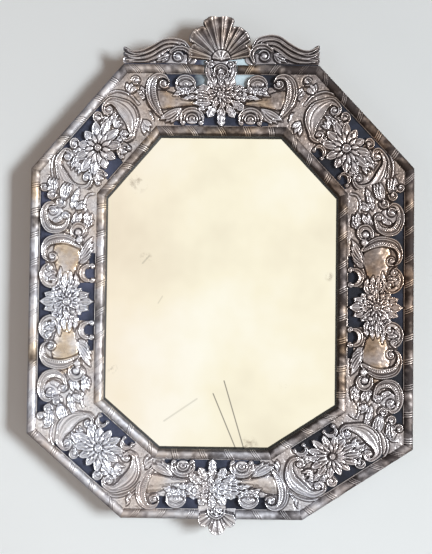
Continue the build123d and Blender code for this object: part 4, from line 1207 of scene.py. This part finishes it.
def velvet_material():
    """Navy pile with painted light, lighter on the left and darker on the right; paler steel blue round the
    crest's stem.
    """
    shade = Shade("blue_velvet")
    cloud = shade.noise(24.0)
    # Painted light: lighter on the left, darker on the right.
    shift = shade.grey(shade.place("X"), -0.20, 0.22, 0.16, -0.22)
    navy = shade.ramp(shade.math("ADD", cloud, shift), VELVET_STOPS)
    # Paler steel blue round the crest's stem.
    reach = shade.vector("DISTANCE", shade.where, PALE_PATCH_AT, "Value")
    reach = shade.math("ADD", reach, shade.grey(cloud, 0.3, 0.7, -0.008, 0.008))
    pale_patch = shade.grey(reach, PALE_PATCH_REACH[1], PALE_PATCH_REACH[0])
    shade.bump(shade.noise(900.0, 2.0, 0.5), 0.5, 0.0006)
    return shade.set(Base_Color=shade.mix(pale_patch, navy, PALE_PATCH_BLUE), Roughness=0.9, Sheen_Weight=0.15,
                     Sheen_Roughness=0.35, Sheen_Tint=(0.45, 0.55, 0.75))


def mirror_material():
    """Old silvering, clear, with a painted reflection of a cream room as its warm, cloudy cast, warmer on
    the left; a few foxed spots and fine scratches.
    """
    shade = Shade("old_mirror")
    # Painted reflection: a warm, cloudy cast, warmer on the left.
    colour = shade.ramp(shade.noise(4.0, 4.0, 0.55), SILVER_AND_REFLECTION_STOPS)
    colour = shade.mix(shade.grey(shade.place("X"), -0.02, -0.15), colour, LEFT_REFLECTION_TINT, "MULTIPLY")
    near = 0.0
    for centre, reach in FOXED:
        near = shade.math("ADD", near, shade.blot(centre, reach))
    fox = shade.math("MULTIPLY", shade.grey(shade.noise(60.0, 6.0, 0.7), 0.50, 0.66), near)
    colour = shade.mix(shade.math("MULTIPLY", fox, 0.7), colour, FOX_BROWN)
    for start, end, half, depth in SCRATCHES:
        line = shade.scratch(start, end, half)
        colour = shade.mix(shade.math("MULTIPLY", line, depth), colour, SCRATCH_GREY)
    return shade.set(Base_Color=colour, Roughness=shade.grey(fox, 0.0, 1.0, 0.015, 0.45), Metallic=1.0)


def wood_material(name, angle, tones=PINE):
    """Pine with its grain along a direction in the plane of the frame."""
    shade = Shade(name)
    light, dark = tones
    turn = (0.0, -angle, 0.0)
    grain = shade.noise(70.0, 6.0, 0.65, GRAIN_STRETCH, turn)
    fine = shade.noise(500.0, 3.0, 0.6, FINE_STRETCH, turn)
    colour = shade.ramp(grain, [(0.30, dark), (0.55, light), (0.75, dark)])
    shade.bump(fine, 0.4)
    colour = shade.mix(shade.grey(fine, 0.35, 0.7, 0.0, 0.4), colour, STREAK, "MULTIPLY")
    return shade.set(Base_Color=colour, Roughness=0.72)


def plain_material(name, low, high, roughness, metallic=0.0, scale=40.0):
    shade = Shade(name)
    shade.bump(shade.noise(6 * scale, 3.0), 0.3)
    colour = shade.ramp(shade.noise(scale), [(0.3, low), (0.7, high)])
    return shade.set(Base_Color=colour, Roughness=roughness, Metallic=metallic)


def paint(node, material):
    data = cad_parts[node].data
    data.materials.clear()
    data.materials.append(material)


def paint_faces(node, material, wanted):
    """Second finish for the faces of a kept node that wanted(face) picks."""
    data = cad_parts[node].data
    data.materials.append(material)
    for face in data.polygons:
        if wanted(face):
            face.material_index = len(data.materials) - 1


def is_front(face):
    return face.normal.y < -0.5


def is_reveal(face):
    """The rebate's edge that shows between the inner moulding and the glass."""
    return abs(face.normal.y) < 0.5 and face.normal.dot(face.center) < 0


def finish_cad_nodes(velvet, iron):
    """Finishes for the nodes that keep their CAD shape."""
    reveal = plain_material("painted_reveal", (0.004, 0.006, 0.012), (0.012, 0.018, 0.034), 0.8)
    corners = octagon()
    for i, member in enumerate(MEMBERS):
        ux, uz = unit(corners[i], corners[(i + 1) % 8])
        paint(member, wood_material(f"pine_{SIDES[i]}", math.atan2(uz, ux)))
        paint_faces(member, reveal, is_reveal)
    paint("corner_keys", wood_material("pine_key", 0.6, KEY_PINE))
    paint("crest_board", wood_material("pine_crest", 0.0))
    paint_faces("crest_board", velvet, is_front)
    paint("drop_board", wood_material("pine_drop", 0.0))
    paint("backboard", wood_material("pine_backboard", math.pi / 2, OLD_PINE))
    paint("packing_board", plain_material("pasteboard", (0.42, 0.34, 0.22), (0.55, 0.46, 0.32), 0.9))
    paint("mirror_plate", mirror_material())
    for node in ("backboard_nails", "edging_pins", "ring_staple"):
        paint(node, iron)


# ---- stage, light and camera ----

# Places and sizes here are in metres
WALL_Y, WALL_HALF, FLOOR_Z = 0.0008, 6.0, -1.6
FLOOR_HALF, FLOOR_FRONT = 4.0, -2.2
# Painted light on the wall: paler low on the left, darker high on the right
WALL_LIT_LOWER_LEFT, WALL_SHADED_UPPER_RIGHT = (0.86, 0.905, 0.93), (0.665, 0.70, 0.72)
BACKDROP_COLOUR = (0.76, 0.80, 0.82)
AMBIENT_COLOUR, AMBIENT_STRENGTH = (1.0, 0.75, 0.60), 0.265
ROOM_STOPS = [(0.0, (0.16, 0.17, 0.20)), (0.75, (1.0, 1.0, 1.0))]
# Place, size, watts and colour of each lamp; all are aimed at the mirror's middle
LAMPS = {"window": ((4.95, -3.9, 0.15), (1.2, 2.4), 132.0, (0.93, 0.98, 1.0)),
         "left_fill": ((-2.4, -2.0, -0.5), (1.6, 1.6), 2.5, (0.92, 0.96, 1.0)),
         "back_fill": ((0.6, 2.4, 0.6), (1.5, 1.5), 9.0, (1.0, 1.0, 1.0))}
LAMP_SPREAD = 100.0
CAMERA_DISTANCE, CAMERA_HEIGHT = 1.100, -0.0063
CAMERA_YAW, CAMERA_PITCH, CAMERA_ROLL = -0.411, 1.375, 0.684
SENSOR_WIDTH = 36.0
FOCAL_PIXELS, IMAGE_WIDTH = 728.1, 432.0


def wall_paint():
    """Matt paint with painted light, paler low on the left and darker high on the right, that only the
    camera sees and only from its front.
    """
    shade = Shade("wall_paint")
    # Painted light: the wall runs from paler low on the left to darker high on the right.
    painted_light_gradient = shade.grey(shade.math("ADD", shade.place("X"), shade.place("Z")), -0.60, 0.65)
    shade.set(Base_Color=shade.mix(painted_light_gradient, WALL_LIT_LOWER_LEFT, WALL_SHADED_UPPER_RIGHT), Roughness=0.95,
              Specular_IOR_Level=0.1)
    front = shade.math("SUBTRACT", 1.0, shade.node("ShaderNodeNewGeometry").outputs["Backfacing"])
    seen = shade.math("MULTIPLY", shade.node("ShaderNodeLightPath").outputs["Is Camera Ray"], front)
    clear = shade.node("ShaderNodeBsdfTransparent").outputs[0]
    shade.feed(shade.output.inputs["Surface"], shade.choose(seen, clear, shade.shader.outputs[0]))
    return shade.material


def stage_plane(name, corners, material):
    plane = new_mesh(name, corners, [(0, 1, 2, 3)], soft=False)
    plane.data.materials.append(material)


def stage():
    wall = [(-WALL_HALF, WALL_Y, FLOOR_Z), (WALL_HALF, WALL_Y, FLOOR_Z),
            (WALL_HALF, WALL_Y, WALL_HALF), (-WALL_HALF, WALL_Y, WALL_HALF)]
    floor = [(-FLOOR_HALF, FLOOR_FRONT, FLOOR_Z), (FLOOR_HALF, FLOOR_FRONT, FLOOR_Z),
             (FLOOR_HALF, 0.0, FLOOR_Z), (-FLOOR_HALF, 0.0, FLOOR_Z)]
    stage_plane("stage_wall", wall, wall_paint())
    stage_plane("stage_floor", floor, Shade("floor_paint").set(Roughness=0.9, Base_Color=BACKDROP_COLOUR))


def room_light():
    """World: pale to the camera, a bright front and dimmer sides to what is shiny."""
    world = bpy.data.worlds.new("room")
    bpy.context.scene.world = world
    world.use_nodes = True
    room = Nodes(world.node_tree)

    def background(colour, strength=1.0):
        return room.node("ShaderNodeBackground", {0: colour, 1: strength}).outputs[0]

    toward = room.node("ShaderNodeTexCoord").outputs["Generated"]
    front = room.grey(room.node("ShaderNodeSeparateXYZ", {0: toward}).outputs["Y"], -0.35, -0.97)
    ray = room.node("ShaderNodeLightPath").outputs
    light = room.choose(ray["Is Glossy Ray"], background(AMBIENT_COLOUR, AMBIENT_STRENGTH),
                        background(room.ramp(front, ROOM_STOPS)))
    light = room.choose(ray["Is Camera Ray"], light, background(BACKDROP_COLOUR))
    room.node("ShaderNodeOutputWorld", {0: light})


def lamp(name, place, size, watts, colour):
    data = bpy.data.lights.new(name, "AREA")
    data.shape = "RECTANGLE"
    data.size, data.size_y = size
    data.energy = watts
    data.spread = math.radians(LAMP_SPREAD)
    data.color = colour
    lamp_object = bpy.data.objects.new(name, data)
    lamp_object.location = place
    lamp_object.rotation_euler = (-Vector(place)).to_track_quat("-Z", "Y").to_euler()
    bpy.context.scene.collection.objects.link(lamp_object)


def camera():
    data = bpy.data.cameras.new("camera")
    data.sensor_fit = "HORIZONTAL"
    data.sensor_width = SENSOR_WIDTH
    data.lens = SENSOR_WIDTH * FOCAL_PIXELS / IMAGE_WIDTH
    viewer = bpy.data.objects.new("camera", data)
    yaw, pitch, roll = (math.radians(a) for a in (CAMERA_YAW, CAMERA_PITCH, CAMERA_ROLL))
    turn = (Matrix.Rotation(-yaw, 4, "Z") @ Matrix.Rotation(math.pi / 2 + pitch, 4, "X")
            @ Matrix.Rotation(roll, 4, "Z"))
    viewer.matrix_world = Matrix.Translation((0.0, -CAMERA_DISTANCE, CAMERA_HEIGHT)) @ turn
    bpy.context.scene.collection.objects.link(viewer)
    bpy.context.scene.camera = viewer


# ---- the whole scene ----

def build():
    velvet_pile = velvet_material()
    iron = plain_material("dull_iron", (0.06, 0.045, 0.035), (0.16, 0.11, 0.08), 0.6, 0.7, 300.0)
    finish_cad_nodes(velvet_pile, iron)
    tin = tin_material("aged_tin", TIN_STOPS)
    rolled = tin_material("rolled_tin", ROLLED_STOPS, 1.5, 0.24)
    for i, side in enumerate(SIDES):
        dress(panel(i), tin, f"{side}_panel")
    for name, *shape in moulding_lengths():
        dress(moulding(f"rolled_{name}", *shape), rolled, name)
    dress(crest_shell(), tin, "crest_shell")
    for hand in ("left", "right"):
        dress(crest_leaf(hand), tin, f"crest_leaf_{hand}")
    dress(drop_leaf(), tin, "drop_leaf")
    velvet = dress(velvet_sheet(), velvet_pile, "velvet_ground")
    dress(round_ring(), iron, "hanging_ring", body="ring")
    stage()
    room_light()
    for name, settings in LAMPS.items():
        lamp(name, *settings)
    camera()
    bpy.context.scene.view_settings.view_transform = "Standard"


build()
